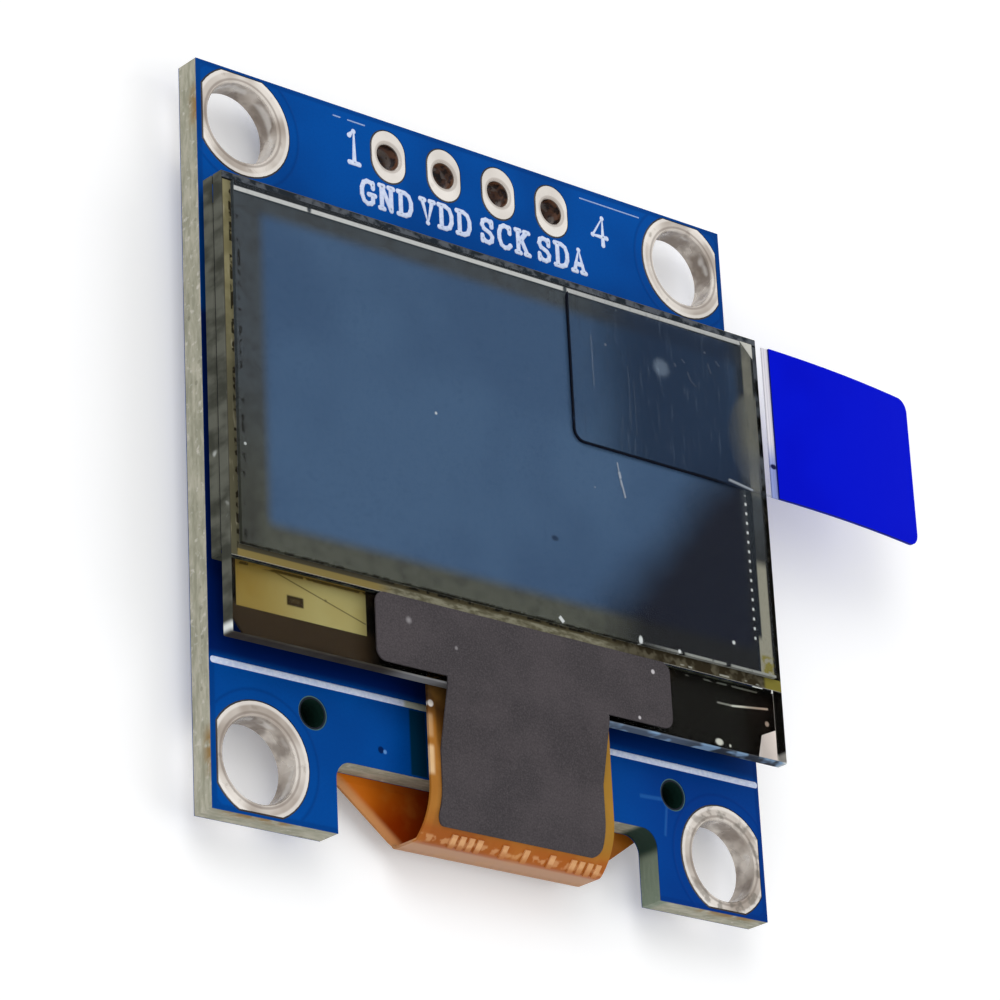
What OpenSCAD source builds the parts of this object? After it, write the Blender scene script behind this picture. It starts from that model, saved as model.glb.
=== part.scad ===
// Small OLED module: 4-hole board, glass display panel, folded flex tail and pull tab.
// Millimetres. Origin: centre of the four mounting holes, on the board's rear face.
// +X runs along the header row, +Y points to the header, +Z is the way the display faces.

/* [Board] */
// How far the board's side edges stand in from the panel's
board_in = 0.15; // [0:0.05:1]
// Board height across the header row
board_h = 27.0; // [25:0.1:32]
// Board thickness over both solder masks
board_t = 1.0; // [0.8:0.1:1.6]
// Solder mask thickness on each face
mask_t = 0.03; // [0.02:0.01:0.05]
// Bare rim that the solder mask leaves round every land
mask_gap = 0.06; // [0.04:0.01:0.1]
// Copper thickness of every land
land_t = 0.05; // [0.035:0.005:0.07]
// Width of the notch in the bottom edge
notch_w = 14.2; // [12:0.1:16]
// Depth of the notch
notch_d = 2.55; // [1.5:0.05:3.5]
// Radius of the notch's two inner corners
notch_r = 0.65; // [0.3:0.05:1.5]

/* [Mounting holes] */
// Distance of each hole's centre from the two board edges beside it
hole_edge = 1.95; // [1.8:0.05:3]
// Finished hole diameter
hole_d = 3.0; // [2:0.1:3.2]
// Diameter of the land round each hole
hole_land_d = 4.0; // [3.6:0.1:4.4]
// Bare strip between a land's flat and the side edge of the board
land_side_gap = 0.25; // [0.1:0.05:0.4]
// Bare strip between a land's flat and the top or bottom edge
land_end_gap = 0.15; // [0.1:0.05:0.4]
// Thickness of the plating in every hole
plate_t = 0.05; // [0.03:0.01:0.08]
// Softening of the rims where the plating turns into a hole
rim_c = 0.04; // [0.01:0.01:0.05]

/* [Header holes] */
// Number of header holes
header_n = 4; // [2:1:8]
// Header pitch
header_pitch = 2.54; // [2:0.01:2.54]
// Distance from the header row to the top edge
header_edge = 1.4; // [1.2:0.05:2.5]
// Finished header hole diameter
header_d = 1.0; // [0.8:0.05:1.1]
// Width of a header land, along the row
header_land_w = 1.5; // [1.3:0.1:1.9]
// Length of a header land, across the row
header_land_l = 2.0; // [1.5:0.1:2.6]

/* [Locating holes] */
// Spacing of the two plain locating holes
locate_dx = 16.0; // [12:0.1:20]
// Their distance from the bottom edge
locate_edge = 4.0; // [3:0.1:6]
// Their diameter
locate_d = 1.0; // [0.8:0.1:1.2]

/* [Display panel] */
// Panel width
panel_w = 24.7; // [22:0.1:28]
// Panel height
panel_h = 16.6; // [14:0.1:20]
// Distance from the board's top edge to the panel's top edge
panel_top = 4.9; // [4:0.1:7]
// Foam tape between board and panel
foam_t = 0.4; // [0.1:0.05:1]
// Rear cap glass thickness
cap_t = 0.5; // [0.3:0.05:0.7]
// Height of the ledge of front glass that stands below the cap
ledge_h = 2.85; // [2.6:0.05:4]
// Depth of the cavity etched into the cap
cavity_t = 0.25; // [0.1:0.05:0.3]
// Margin from the cap's edge to its cavity
cavity_gap = 1.0; // [0.8:0.05:1.1]
// Margin from the cavity's edge to the drying sheet
desiccant_gap = 2.0; // [1:0.1:3]
// Thickness of the drying sheet
desiccant_t = 0.12; // [0.05:0.01:0.18]
// Seal between the two glasses
seal_t = 0.05; // [0.03:0.01:0.1]
// Front glass thickness
front_t = 0.5; // [0.4:0.05:0.7]
// Glass edge chamfer
glass_c = 0.05; // [0:0.01:0.1]
// Width of the seal between the glasses
seal_w = 0.65; // [0.4:0.05:0.7]
// Margin from the panel's edge to the seal
seal_gap = 0.08; // [0.05:0.01:0.2]
// Distance from the panel's left edge to the lit area
active_left = 1.73; // [1.6:0.01:3]
// Distance from the panel's right edge to the lit area
active_right = 1.23; // [1.2:0.01:3]
// Distance from the panel's top edge to the lit area
active_top = 1.15; // [1.15:0.05:2]
// Distance from the cap's bottom edge to the lit area
active_bottom = 1.42; // [1.3:0.01:3]
// Thickness of the emitting layers
emitter_t = 0.02; // [0.01:0.01:0.02]
// Reach of the metal electrode past the lit area
cathode_over = 0.35; // [0.1:0.05:0.4]
// Thickness of the metal electrode behind the lit area
cathode_t = 0.03; // [0.01:0.01:0.03]

/* [Films] */
// Polariser thickness
polariser_t = 0.15; // [0.1:0.01:0.25]
// Bare glass beside the polariser
polariser_side = 0.4; // [0.2:0.05:1]
// Bare glass above the polariser
polariser_top = 0.35; // [0.2:0.05:1]
// Distance from the cap's bottom edge up to the polariser
polariser_bottom = 0.3; // [0:0.05:1]
// Protective film thickness
film_t = 0.05; // [0.03:0.01:0.1]
// Corner chamfer of the protective film at its top right
film_c = 0.55; // [0:0.05:1]

/* [Pull tab] */
// Tab width
tab_w = 6.0; // [4:0.1:8]
// Distance from the panel's top edge to the tab's top edge
tab_top = 0.4; // [0.2:0.05:2]
// Reach of the clear tape onto the film, from the panel's right edge
tab_on = 9.6; // [5:0.1:14]
// Reach of the tab past the panel's right edge
tab_out = 8.1; // [4:0.1:12]
// Clear strip between the panel's edge and the coloured grip
tab_clear = 0.3; // [0.1:0.05:2]
// Clear tape thickness
tape_t = 0.05; // [0.03:0.01:0.1]
// Coloured grip thickness
grip_t = 0.08; // [0.05:0.01:0.15]
// Corner radius of the grip
grip_r = 0.5; // [0.2:0.05:1.5]
// Droop of the grip's far end
tab_droop = 0.6; // [0:0.1:3]

/* [Flex tail] */
// Flex thickness
flex_t = 0.1; // [0.08:0.01:0.2]
// Flex width where it leaves the panel
flex_w = 8.1; // [6:0.1:12]
// Offset of the flex from the panel's centre line
flex_x = 0.2; // [-1:0.1:1]
// Length of flex bonded under the ledge
flex_bond = 1.2; // [0.8:0.1:1.6]
// Radius of the wide bend over the notch
bend_r = 2.2; // [1:0.1:3]
// Angle of the wide bend, up to the crease
bend_a = 50; // [45:5:70]
// Radius of the crease
crease_r = 0.2; // [0.12:0.01:0.4]
// Radius of the rear fold
fold_r = 0.2; // [0.12:0.01:0.4]
// Clearance of the fold from the board's bottom edge, inwards
fold_in = 0.35; // [0:0.05:1]
// Width of a trace ridge over the crease
ridge_w = 0.22; // [0.1:0.01:0.28]
// Height of a trace ridge
ridge_h = 0.06; // [0.02:0.01:0.08]
// Pitch of the trace ridges
ridge_pitch = 0.37; // [0.3:0.01:0.38]
// Width of the flex where it is soldered
wing_w = 19.0; // [17:0.1:20]
// Rise of the wings' slanting edges, per unit of width
wing_rise = 0.7; // [0.5:0.05:1]
// Distance from the board's bottom edge to the soldered end
flex_end = 7.0; // [5:0.1:9]

/* [Flex solder row] */
// Number of soldered contacts
row_n = 30; // [10:1:40]
// Contact pitch
row_pitch = 0.62; // [0.5:0.01:0.8]
// Width of a contact pad
row_pad_w = 0.36; // [0.25:0.01:0.45]
// Length of a contact pad
row_pad_l = 2.4; // [1.5:0.1:3]

// Width of a solder joint
solder_w = 0.28; // [0.2:0.01:0.35]
// Length of a solder joint on the flex
solder_l = 1.75; // [1:0.05:1.9]
// Height of a solder joint over the flex
solder_h = 0.14; // [0.05:0.01:0.2]
// Reach of a solder joint past the flex's end, onto its pad
solder_toe = 0.4; // [0.2:0.05:0.5]
// Reach of the flex over its pads
row_over = 1.9; // [1:0.1:2]

/* [Cover tape] */
// Cover tape thickness
cover_t = 0.06; // [0.04:0.01:0.12]
// Width of the tape's wide part, on the ledge
cover_w = 13.2; // [9:0.1:16]
// Height of the wide part
cover_h = 2.45; // [1.5:0.05:3]
// Width of the tape's narrow part, on the flex
cover_tail_w = 7.2; // [5:0.1:9]
// Angle round the wide bend at which the tape ends
cover_a = 35; // [15:5:40]
// Share of the way to the bend at which the tape comes down on the flex
cover_touch = 0.64; // [0.3:0.01:0.9]
// Distance from the panel's bottom edge to the wide part
cover_in = 0.25; // [0.1:0.05:0.35]
// Corner radius of the tape
cover_r = 0.4; // [0.2:0.05:1]

/* [Ledge] */
// Driver chip length
chip_l = 10.8; // [8:0.1:12]
// Driver chip width
chip_w = 0.9; // [0.7:0.05:1.2]
// Driver chip thickness
chip_t = 0.3; // [0.2:0.05:0.4]
// Gap between the flex's end and the driver chip
chip_gap = 0.2; // [0.1:0.05:0.3]
// Thickness of the coating under the ledge
coat_t = 0.06; // [0.03:0.01:0.1]
// Strip that the coating leaves bare at the ledge's bottom edge
coat_edge = 0.12; // [0.05:0.01:0.3]
// Clearance of the coating from the chip and the flex
coat_clear = 0.05; // [0.02:0.01:0.1]
// Clearance of films and coating from the cap
cap_clear = 0.05; // [0.02:0.01:0.1]
// Thickness of the metal film on the ledge
metal_t = 0.02; // [0.01:0.01:0.03]
// Distance from the panel's left edge to the metal film
metal_in = 0.55; // [0.35:0.05:1]
// Length of the metal film field on the ledge
metal_l = 5.4; // [3:0.1:6]
// Height of the metal film field
metal_h = 1.6; // [1:0.05:1.8]

/* [Rear parts] */
// Length of a chip resistor or capacitor
smd_l = 1.6; // [1:0.1:2]
// Width of a chip resistor or capacitor
smd_w = 0.8; // [0.5:0.05:1.25]
// Resistor height
res_h = 0.45; // [0.3:0.05:0.6]
// Capacitor height
cap_part_h = 0.85; // [0.5:0.05:1]
// Length of a chip part's pad
smd_pad = 0.85; // [0.7:0.05:0.9]
// Width of a chip part's end caps
smd_end = 0.3; // [0.2:0.05:0.35]
// Distance from the header row to the first row of rear parts
upper_gap = 3.5; // [3:0.1:3.8]
// Distance from the first row of rear parts to the middle row
mid_gap = 5.3; // [5:0.1:5.5]
// Step between two resistors that lie one below the other
row_step = 1.7; // [1.3:0.1:2]
// Pitch of the upright resistors
res_pitch = 2.0; // [1.4:0.1:2.4]
// Pitch of the capacitors in the lowest row
part_pitch = 3.5; // [3:0.1:3.6]
// Distance of the outermost rear parts from the board's side edges
side_in = 2.6; // [2:0.1:2.8]
// Distance from the flex's soldered end to the lowest row of rear parts
lower_gap = 3.3; // [1.5:0.1:3.5]
// Regulator body length
reg_l = 2.9; // [2.8:0.05:3.1]
// Regulator body width
reg_w = 1.3; // [1.2:0.05:1.7]
// Regulator body height
reg_h = 0.9; // [0.8:0.05:1.2]
// Distance of the outer regulator leads from the middle one
reg_pitch = 0.95; // [0.9:0.01:1]
// Regulator lead thickness
lead_t = 0.12; // [0.1:0.01:0.15]
// Regulator lead width
lead_w = 0.4; // [0.3:0.05:0.5]
// Length of a lead's foot
lead_foot = 0.4; // [0.3:0.05:0.5]

/* [Hidden] */
$fn = 64;
e = 0.01;
laminate_t = board_t - 2*mask_t;
top_y = board_h/2;
bot_y = -board_h/2;
header_y = top_y - header_edge;
locate_y = bot_y + locate_edge;
land_over = land_t - mask_t;               // how far a land stands over the mask
foam_z = board_t;
cap_z = foam_z + foam_t;
seal_z = cap_z + cap_t;
front_z = seal_z + seal_t;
face_z = front_z + front_t;
film_z = face_z + polariser_t;
tape_z = film_z + film_t;
board_w = panel_w - 2*board_in;
panel_y1 = top_y - panel_top;
panel_y0 = panel_y1 - panel_h;
cap_h = panel_h - ledge_h;
cap_y0 = panel_y1 - cap_h;
polariser_w = panel_w - 2*polariser_side;
polariser_h = cap_h - polariser_top - polariser_bottom;
active_x0 = -panel_w/2 + active_left;
active_x1 = panel_w/2 - active_right;
active_y1 = panel_y1 - active_top;
active_y0 = cap_y0 + active_bottom;
polariser_y1 = panel_y1 - polariser_top;
polariser_y0 = polariser_y1 - polariser_h;
tab_y1 = panel_y1 - tab_top;
tab_y0 = tab_y1 - tab_w;
tab_x0 = panel_w/2 - tab_on;
tab_x1 = panel_w/2 + tab_out;
grip_x0 = panel_w/2 + tab_clear;
mount_holes = [for (sx = [-1, 1], sy = [-1, 1]) [sx*(board_w/2 - hole_edge), sy*(board_h/2 - hole_edge)]];
header_x = [for (i = [0:header_n-1]) (i - (header_n-1)/2)*header_pitch];
row_x = [for (i = [0:row_n-1]) flex_x + (i - (row_n-1)/2)*row_pitch];

// flex path in the plane across the board: y, z
flex_z = front_z - flex_t/2;
chip_y0 = panel_y0 + flex_bond + chip_gap;
flex_y0 = panel_y0 + flex_bond;
wall_y = bot_y + fold_in;
bend_c = [wall_y + crease_r + (bend_r - crease_r)*sin(bend_a), flex_z - bend_r];
crease_c = bend_c + (bend_r - crease_r)*[-sin(bend_a), cos(bend_a)];
sit_z = -land_over - flex_t/2;
bend_step = 5;                             // every strip over the bend turns in these steps
return_a = 5;                              // slope of the rear part behind the fold
fold_z = sit_z - 0.75*fold_r + fold_r;
fold_c = [wall_y + fold_r, fold_z];
fold_out = fold_c + fold_r*[sin(return_a), -cos(return_a)];
sit_y = fold_out.x + (sit_z - fold_out.y)/tan(return_a);
flex_y1 = bot_y + flex_end;
row_y0 = flex_y1 - row_over;
solder_z = sit_z - flex_t/2;

// rear parts: x, y, turn. The upper ones follow the header row, the lower ones the soldered end.
upper_y = header_y - upper_gap;
lower_y = flex_y1 + lower_gap;
mid_y = upper_y - mid_gap;
side_x = board_w/2 - side_in;
resistors = concat([for (i = [0:2]) [-side_x + i*res_pitch, mid_y, 90]],
    [[0.7*part_pitch, upper_y, 0], [1.5*part_pitch, upper_y, 0], [1.5*part_pitch, upper_y - row_step, 0],
     [side_x, lower_y + smd_w/2, 90]]);
capacitors = concat([for (i = [-2:2]) [flex_x + i*part_pitch, lower_y, 0]],
    [[0.2*part_pitch, mid_y, 90], [side_x - side_in/2, mid_y, 90]]);
regulator_at = [side_in - side_x, upper_y - 0.75*row_step];

function dir(a) = [cos(a), sin(a)];
function arc(c, r, a0, a1, n) = [for (i = [0:n]) c + r*dir(a0 + (a1 - a0)*i/n)];
function rev(p) = [for (i = [len(p)-1:-1:0]) p[i]];
// the flex's surface at offset h from its middle, over the bends
function bend_side(h, a) = arc(bend_c, bend_r + h, 90, 90 + a, round(a/bend_step));
function crease_side(h, n) = arc(crease_c, crease_r + h, 98 + bend_a, 98 + bend_a + n*(82 - bend_a)/4, n);
function flex_side(h) = concat([[flex_y0, flex_z + h]], bend_side(h, bend_a), crease_side(h, 4),
    arc(fold_c, fold_r + h, 180, 270 + return_a, 8),
    [[sit_y, sit_z - h], [flex_y1, sit_z - h]]);
function ridge_side(h) = concat(arc(bend_c, bend_r + h, 90 + cover_a + bend_step, 90 + bend_a,
                                    round((bend_a - cover_a)/bend_step) - 1), crease_side(h, 2));

// a strip that follows a path of y, z points and runs from x0 to x1
module across(points, x0, x1)
    translate([x0, 0, 0]) rotate([90, 0, 90]) linear_extrude(x1 - x0) polygon(points);

// a strip that follows a path of x, z points and runs from y0 to y1
module along(points, y0, y1)
    translate([0, y1, 0]) rotate([90, 0, 0]) linear_extrude(y1 - y0) polygon(points);

module box(x0, x1, y0, y1, z0, z1)
    translate([x0, y0, z0]) cube([x1 - x0, y1 - y0, z1 - z0]);

// rectangle with round corners of radius r
module round_rect(x0, x1, y0, y1, r) {
    translate([x0 + r, y0]) square([x1 - x0 - 2*r, y1 - y0]);
    translate([x0, y0 + r]) square([x1 - x0, y1 - y0 - 2*r]);
    for (x = [x0 + r, x1 - r], y = [y0 + r, y1 - r]) translate([x, y]) circle(r = r);
}

// slab with its edges chamfered by c
module glass_slab(x0, x1, y0, y1, z0, z1, c) {
    intersection() {
        translate([0, 0, z0]) linear_extrude(z1 - z0)
            polygon([[x0+c, y0], [x1-c, y0], [x1, y0+c], [x1, y1-c], [x1-c, y1], [x0+c, y1], [x0, y1-c], [x0, y0+c]]);
        along([[x0+c, z0], [x1-c, z0], [x1, z0+c], [x1, z1-c], [x1-c, z1], [x0+c, z1], [x0, z1-c], [x0, z0+c]], y0, y1);
        across([[y0+c, z0], [y1-c, z0], [y1, z0+c], [y1, z1-c], [y1-c, z1], [y0+c, z1], [y0, z1-c], [y0, z0+c]], x0, x1);
    }
}

module board_outline() {
    difference() {
        translate([-board_w/2, bot_y]) square([board_w, board_h]);
        round_rect(-notch_w/2, notch_w/2, bot_y - 2, bot_y + notch_d, notch_r);
    }
}

module slot_shape(w, l) {
    translate([-w/2, -(l - w)/2]) square([w, l - w]);
    for (s = [-1, 1]) translate([0, s*(l - w)/2]) circle(d = w);
}

module at_mounts() for (p = mount_holes) translate(p) children();
module at_headers() for (x = header_x) translate([x, header_y]) children();
module at_locators() for (s = [-1, 1]) translate([s*locate_dx/2, locate_y]) children();

module board_laminate() {
    color([0.66, 0.64, 0.56]) translate([0, 0, mask_t]) linear_extrude(laminate_t) difference() {
        board_outline();
        at_mounts() circle(d = hole_d + 2*plate_t);
        at_headers() circle(d = header_d + 2*plate_t);
        at_locators() circle(d = locate_d);
    }
}

// the outline of the land at hole p grown by g, cut flat beside the board's edges
module mount_land(p, g) intersection() {
    circle(d = hole_land_d + 2*g);
    translate(-p) translate([-board_w/2 + land_side_gap - g, bot_y + land_end_gap - g])
        square([board_w - 2*(land_side_gap - g), board_h - 2*(land_end_gap - g)]);
}

module mask_shape() {
    difference() {
        board_outline();
        for (p = mount_holes) translate(p) mount_land(p, mask_gap);
        at_headers() slot_shape(header_land_w + 2*mask_gap, header_land_l + 2*mask_gap);
        at_locators() circle(d = locate_d + 0.2);
        children();
    }
}

module front_solder_mask()
    color([0.0, 0.27, 0.56]) translate([0, 0, board_t - mask_t]) linear_extrude(mask_t) mask_shape();

module rear_solder_mask()
    color([0.0, 0.27, 0.56]) linear_extrude(mask_t) mask_shape() {
        row_pads_shape(0.04);
        part_pads_shape(mask_gap);
    }

// a plated hole: a barrel through the board with a land on each face and softened rims
module plated(d) {
    difference() {
        union() {
            translate([0, 0, -land_over]) linear_extrude(land_t) children();
            translate([0, 0, board_t - mask_t]) linear_extrude(land_t) children();
            cylinder(d = d + 2*plate_t, h = board_t - mask_t + e);
        }
        translate([0, 0, -1]) cylinder(d = d, h = board_t + 2);
        translate([0, 0, board_t + land_over - rim_c]) cylinder(d1 = d, d2 = d + 4*rim_c, h = 2*rim_c);
        translate([0, 0, -land_over - rim_c]) cylinder(d1 = d + 4*rim_c, d2 = d, h = 2*rim_c);
    }
}

module mounting_hole_plating()
    color([0.80, 0.77, 0.72])
    for (p = mount_holes) translate(p) plated(hole_d) mount_land(p, 0);

module header_hole_plating()
    color([0.80, 0.77, 0.72])
    for (x = header_x) translate([x, header_y]) plated(header_d) slot_shape(header_land_w, header_land_l);

module row_pads_shape(grow = 0)
    for (x = row_x) translate([x - row_pad_w/2 - grow, row_y0 - grow])
        square([row_pad_w + 2*grow, row_pad_l + 2*grow]);

module flex_solder_pads()
    color([0.85, 0.62, 0.30]) translate([0, 0, -land_over]) linear_extrude(land_t) row_pads_shape();

module mounting_foam()
    color([0.12, 0.12, 0.13])
    box(-panel_w/2 + 0.6, panel_w/2 - 0.6, cap_y0 + 0.6, panel_y1 - 0.6, foam_z, cap_z);

module cap_glass()
    color([0.62, 0.68, 0.66, 0.6]) difference() {
        glass_slab(-panel_w/2, panel_w/2, cap_y0, panel_y1, cap_z, seal_z, glass_c);
        translate([0, 0, seal_z - cavity_t]) linear_extrude(cavity_t + e)
            round_rect(-panel_w/2 + cavity_gap, panel_w/2 - cavity_gap, cap_y0 + cavity_gap, panel_y1 - cavity_gap, cavity_gap/2);
    }

module desiccant_sheet()
    color([0.86, 0.85, 0.80])
    box(-panel_w/2 + cavity_gap + desiccant_gap, panel_w/2 - cavity_gap - desiccant_gap,
        cap_y0 + cavity_gap + desiccant_gap, panel_y1 - cavity_gap - desiccant_gap,
        seal_z - cavity_t, seal_z - cavity_t + desiccant_t);

module glass_seal()
    color([0.10, 0.10, 0.09]) translate([0, 0, seal_z]) linear_extrude(seal_t) difference() {
        round_rect(-panel_w/2 + seal_gap, panel_w/2 - seal_gap, cap_y0 + seal_gap, panel_y1 - seal_gap, seal_gap);
        round_rect(-panel_w/2 + seal_gap + seal_w, panel_w/2 - seal_gap - seal_w,
                   cap_y0 + seal_gap + seal_w, panel_y1 - seal_gap - seal_w, seal_w/2);
    }

module front_glass()
    color([0.62, 0.68, 0.66, 0.6])
    glass_slab(-panel_w/2, panel_w/2, panel_y0, panel_y1, front_z, face_z, glass_c);

module emitter_stack()
    color([0.20, 0.29, 0.40])
    box(active_x0, active_x1, active_y0, active_y1, front_z - emitter_t, front_z);

module cathode_layer()
    color([0.28, 0.28, 0.27])
    box(active_x0 - cathode_over, active_x1 + cathode_over, active_y0 - cathode_over, active_y1 + cathode_over,
        front_z - emitter_t - cathode_t, front_z - emitter_t);

module polariser()
    color([0.16, 0.18, 0.20, 0.8])
    box(-polariser_w/2, polariser_w/2, polariser_y0, polariser_y1, face_z, film_z);

module protective_film()
    color([0.75, 0.80, 0.84, 0.3]) translate([0, 0, film_z]) linear_extrude(film_t)
    polygon([[-polariser_w/2, polariser_y0], [polariser_w/2, polariser_y0], [polariser_w/2, polariser_y1 - film_c],
             [polariser_w/2 - film_c, polariser_y1], [-polariser_w/2, polariser_y1]]);

// the tab's surface at offset h over the tape's underside: straight, then drooping
droop_r = pow(tab_x1 - grip_x0, 2)/(2*tab_droop);
droop_a = asin((tab_x1 - grip_x0)/droop_r);
function droop_side(h) = arc([grip_x0, tape_z - droop_r], droop_r + h, 90, 90 - droop_a, 8);

module pull_tape()
    color([0.88, 0.88, 0.90, 0.4]) intersection() {
        along(concat([[tab_x0, tape_z]], droop_side(0), rev(droop_side(tape_t)), [[tab_x0, tape_z + tape_t]]), tab_y0, tab_y1);
        linear_extrude(10) union() {
            round_rect(tab_x0, tab_x1, tab_y0, tab_y1, grip_r);
        }
    }

module pull_grip()
    color([0.02, 0.08, 0.78]) intersection() {
        along(concat(droop_side(tape_t), rev(droop_side(tape_t + grip_t))), tab_y0, tab_y1);
        linear_extrude(10) round_rect(tab_x0, tab_x1, tab_y0, tab_y1, grip_r);
    }

// the metal field's outline, in place
module metal_field(z0, z1)
    box(-panel_w/2 + metal_in, -panel_w/2 + metal_in + metal_l, cap_y0 - cap_clear - metal_h, cap_y0 - cap_clear, z0, z1);

// the driver chip's outline, grown by g
module chip_place(g, z0, z1)
    box(flex_x - chip_l/2 - g, flex_x + chip_l/2 + g, chip_y0 - g, chip_y0 + chip_w + g, z0, z1);

module ledge_metal_film()
    color([0.62, 0.52, 0.26]) metal_field(front_z - metal_t, front_z);

module driver_chip()
    color([0.35, 0.35, 0.37])
    chip_place(0, front_z - chip_t, front_z);

module ledge_coating()
    color([0.09, 0.08, 0.07]) difference() {
        translate([0, 0, front_z - coat_t]) linear_extrude(coat_t)
            polygon([[-panel_w/2 + 0.3, cap_y0 - cap_clear], [-panel_w/2 + 0.3, panel_y0 + 0.9], [-panel_w/2 + 0.9, panel_y0 + coat_edge],
                     [panel_w/2 - 1.0, panel_y0 + coat_edge], [panel_w/2 - 0.75, panel_y0 + 1.1], [panel_w/2 - 0.05, panel_y0 + 1.4],
                     [panel_w/2 - 0.05, cap_y0 - cap_clear]]);
        metal_field(front_z - metal_t, front_z + 1);
        chip_place(coat_clear, front_z - 1, front_z + 1);
        box(flex_x - flex_w/2 - coat_clear, flex_x + flex_w/2 + coat_clear, panel_y0 - 1, chip_y0, front_z - 1, front_z + 1);
    }

module flex_tail()
    color([0.70, 0.46, 0.17]) intersection() {
        across(concat(flex_side(flex_t/2), rev(flex_side(-flex_t/2))), -wing_w, wing_w);
        union() {
            box(flex_x - flex_w/2, flex_x + flex_w/2, bot_y - 2, top_y, -2, front_z + 1);
            translate([0, 0, -2]) linear_extrude(2 - land_over) wing_outline();
        }
    }

module wing_outline() {
    h0 = flex_w/2;
    h1 = wing_w/2;
    y0 = wall_y + fold_r/2;
    y1 = y0 + (h1 - h0)*wing_rise;
    translate([flex_x, 0]) polygon([[-h0, y0 - 1], [h0, y0 - 1], [h0, y0], [h1, y1], [h1, flex_y1],
                                    [-h1, flex_y1], [-h1, y1], [-h0, y0]]);
}

// places of the ridges in ridge pitches from the flex's middle: a group on each side, three singles between
ridge_x = [for (n = [-7.2, -6.2, -5.2, -4.2, -1.2, 1.35, 4.45, 7, 8, 9, 10]) flex_x + n*ridge_pitch];

module flex_ridges()
    color([0.74, 0.50, 0.22])
    for (x = ridge_x)
        across(concat(ridge_side(flex_t/2), rev(ridge_side(flex_t/2 + ridge_h))), x - ridge_w/2, x + ridge_w/2);

module cover_tape() {
    top = panel_y0 + cover_in + cover_h;
    lift = face_z + cover_t;
    touch_y = panel_y0 + cover_touch*(bend_c.x - panel_y0);
    color([0.29, 0.27, 0.28]) intersection() {
        across(concat([[top, face_z], [panel_y0 - cover_t, face_z]], [[touch_y, flex_z + flex_t/2]], bend_side(flex_t/2, cover_a),
                      rev(bend_side(flex_t/2 + cover_t, cover_a)), [[touch_y, flex_z + flex_t/2 + cover_t]],
                      [[panel_y0 - cover_t/2, lift], [top, lift]]), -cover_w, cover_w);
        linear_extrude(10) union() {
            round_rect(flex_x - cover_w/2, flex_x + cover_w/2, panel_y0 + cover_in, top, cover_r);
            round_rect(flex_x - cover_tail_w/2, flex_x + cover_tail_w/2,
                       bend_c.x - (bend_r + flex_t/2)*sin(cover_a) - 0.02, top, cover_r);
        }
    }
}

module solder_joints()
    color([0.78, 0.78, 0.77])
    for (x = row_x)
        across([[flex_y1 - solder_l, solder_z], [flex_y1 - 0.85*solder_l, solder_z - 0.7*solder_h],
                [flex_y1 - 0.4*solder_l, solder_z - solder_h], [flex_y1 - 0.06*solder_l, solder_z - 0.7*solder_h],
                [flex_y1 + solder_toe/2, sit_z], [flex_y1 + solder_toe, -land_over], [flex_y1, -land_over],
                [flex_y1, solder_z]],
               x - solder_w/2, x + solder_w/2);

// puts a part drawn standing on z = 0 upside down on the rear lands
module on_rear(p) translate([p[0], p[1], -land_over]) rotate([0, 0, p[2]]) mirror([0, 0, 1]) children();

module part_pads_shape(grow = 0) {
    for (p = concat(resistors, capacitors)) translate([p[0], p[1]]) rotate(p[2])
        for (s = [-1, 1]) translate([s*smd_l/2, 0]) square([smd_pad + 2*grow, smd_w + 0.1 + 2*grow], center = true);
    translate(regulator_at) {
        for (s = [-1, 1]) translate([s*reg_pitch, -reg_w/2 - lead_foot])
            square([lead_w + 0.2 + 2*grow, 2*lead_foot + 0.1 + 2*grow], center = true);
        translate([0, reg_w/2 + lead_foot]) square([lead_w + 0.2 + 2*grow, 2*lead_foot + 0.1 + 2*grow], center = true);
    }
}

module part_pads()
    color([0.80, 0.77, 0.72]) translate([0, 0, -land_over]) linear_extrude(land_t) part_pads_shape();

module smd_body(h, c) color(c) translate([0, 0, h/2]) cube([smd_l - 2*smd_end, smd_w - 0.04, h - 0.04], center = true);
module smd_ends(h) color([0.78, 0.78, 0.77])
    for (s = [-1, 1]) translate([s*(smd_l - smd_end)/2, 0, h/2]) cube([smd_end, smd_w, h], center = true);

module resistor_bodies() for (p = resistors) on_rear(p) smd_body(res_h, [0.10, 0.10, 0.11]);
module resistor_ends() for (p = resistors) on_rear(p) smd_ends(res_h);
module capacitor_bodies() for (p = capacitors) on_rear(p) smd_body(cap_part_h, [0.62, 0.50, 0.36]);
module capacitor_ends() for (p = capacitors) on_rear(p) smd_ends(cap_part_h);

module part_solder()
    color([0.76, 0.76, 0.75]) for (p = concat(resistors, capacitors)) on_rear(p)
        for (s = [0, 180]) rotate(s) translate([0, -smd_w/2 + 0.04, 0]) rotate([90, 0, 0]) mirror([0, 0, 1])
            linear_extrude(smd_w - 0.08)
                polygon([[smd_l/2, 0], [smd_l/2 + smd_end, 0], [smd_l/2 + smd_end/3, smd_end/3], [smd_l/2, smd_end]]);

module regulator_body()
    color([0.12, 0.12, 0.13]) on_rear([regulator_at.x, regulator_at.y, 0])
    intersection() {
        along([[-reg_l/2, 0.5], [-reg_l/2 + 0.06, 0.08], [reg_l/2 - 0.06, 0.08], [reg_l/2, 0.5],
               [reg_l/2 - 0.06, reg_h], [-reg_l/2 + 0.06, reg_h]], -reg_w/2, reg_w/2);
        across([[-reg_w/2, 0.5], [-reg_w/2 + 0.06, 0.08], [reg_w/2 - 0.06, 0.08], [reg_w/2, 0.5],
                [reg_w/2 - 0.06, reg_h], [-reg_w/2 + 0.06, reg_h]], -reg_l/2, reg_l/2);
    }

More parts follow.
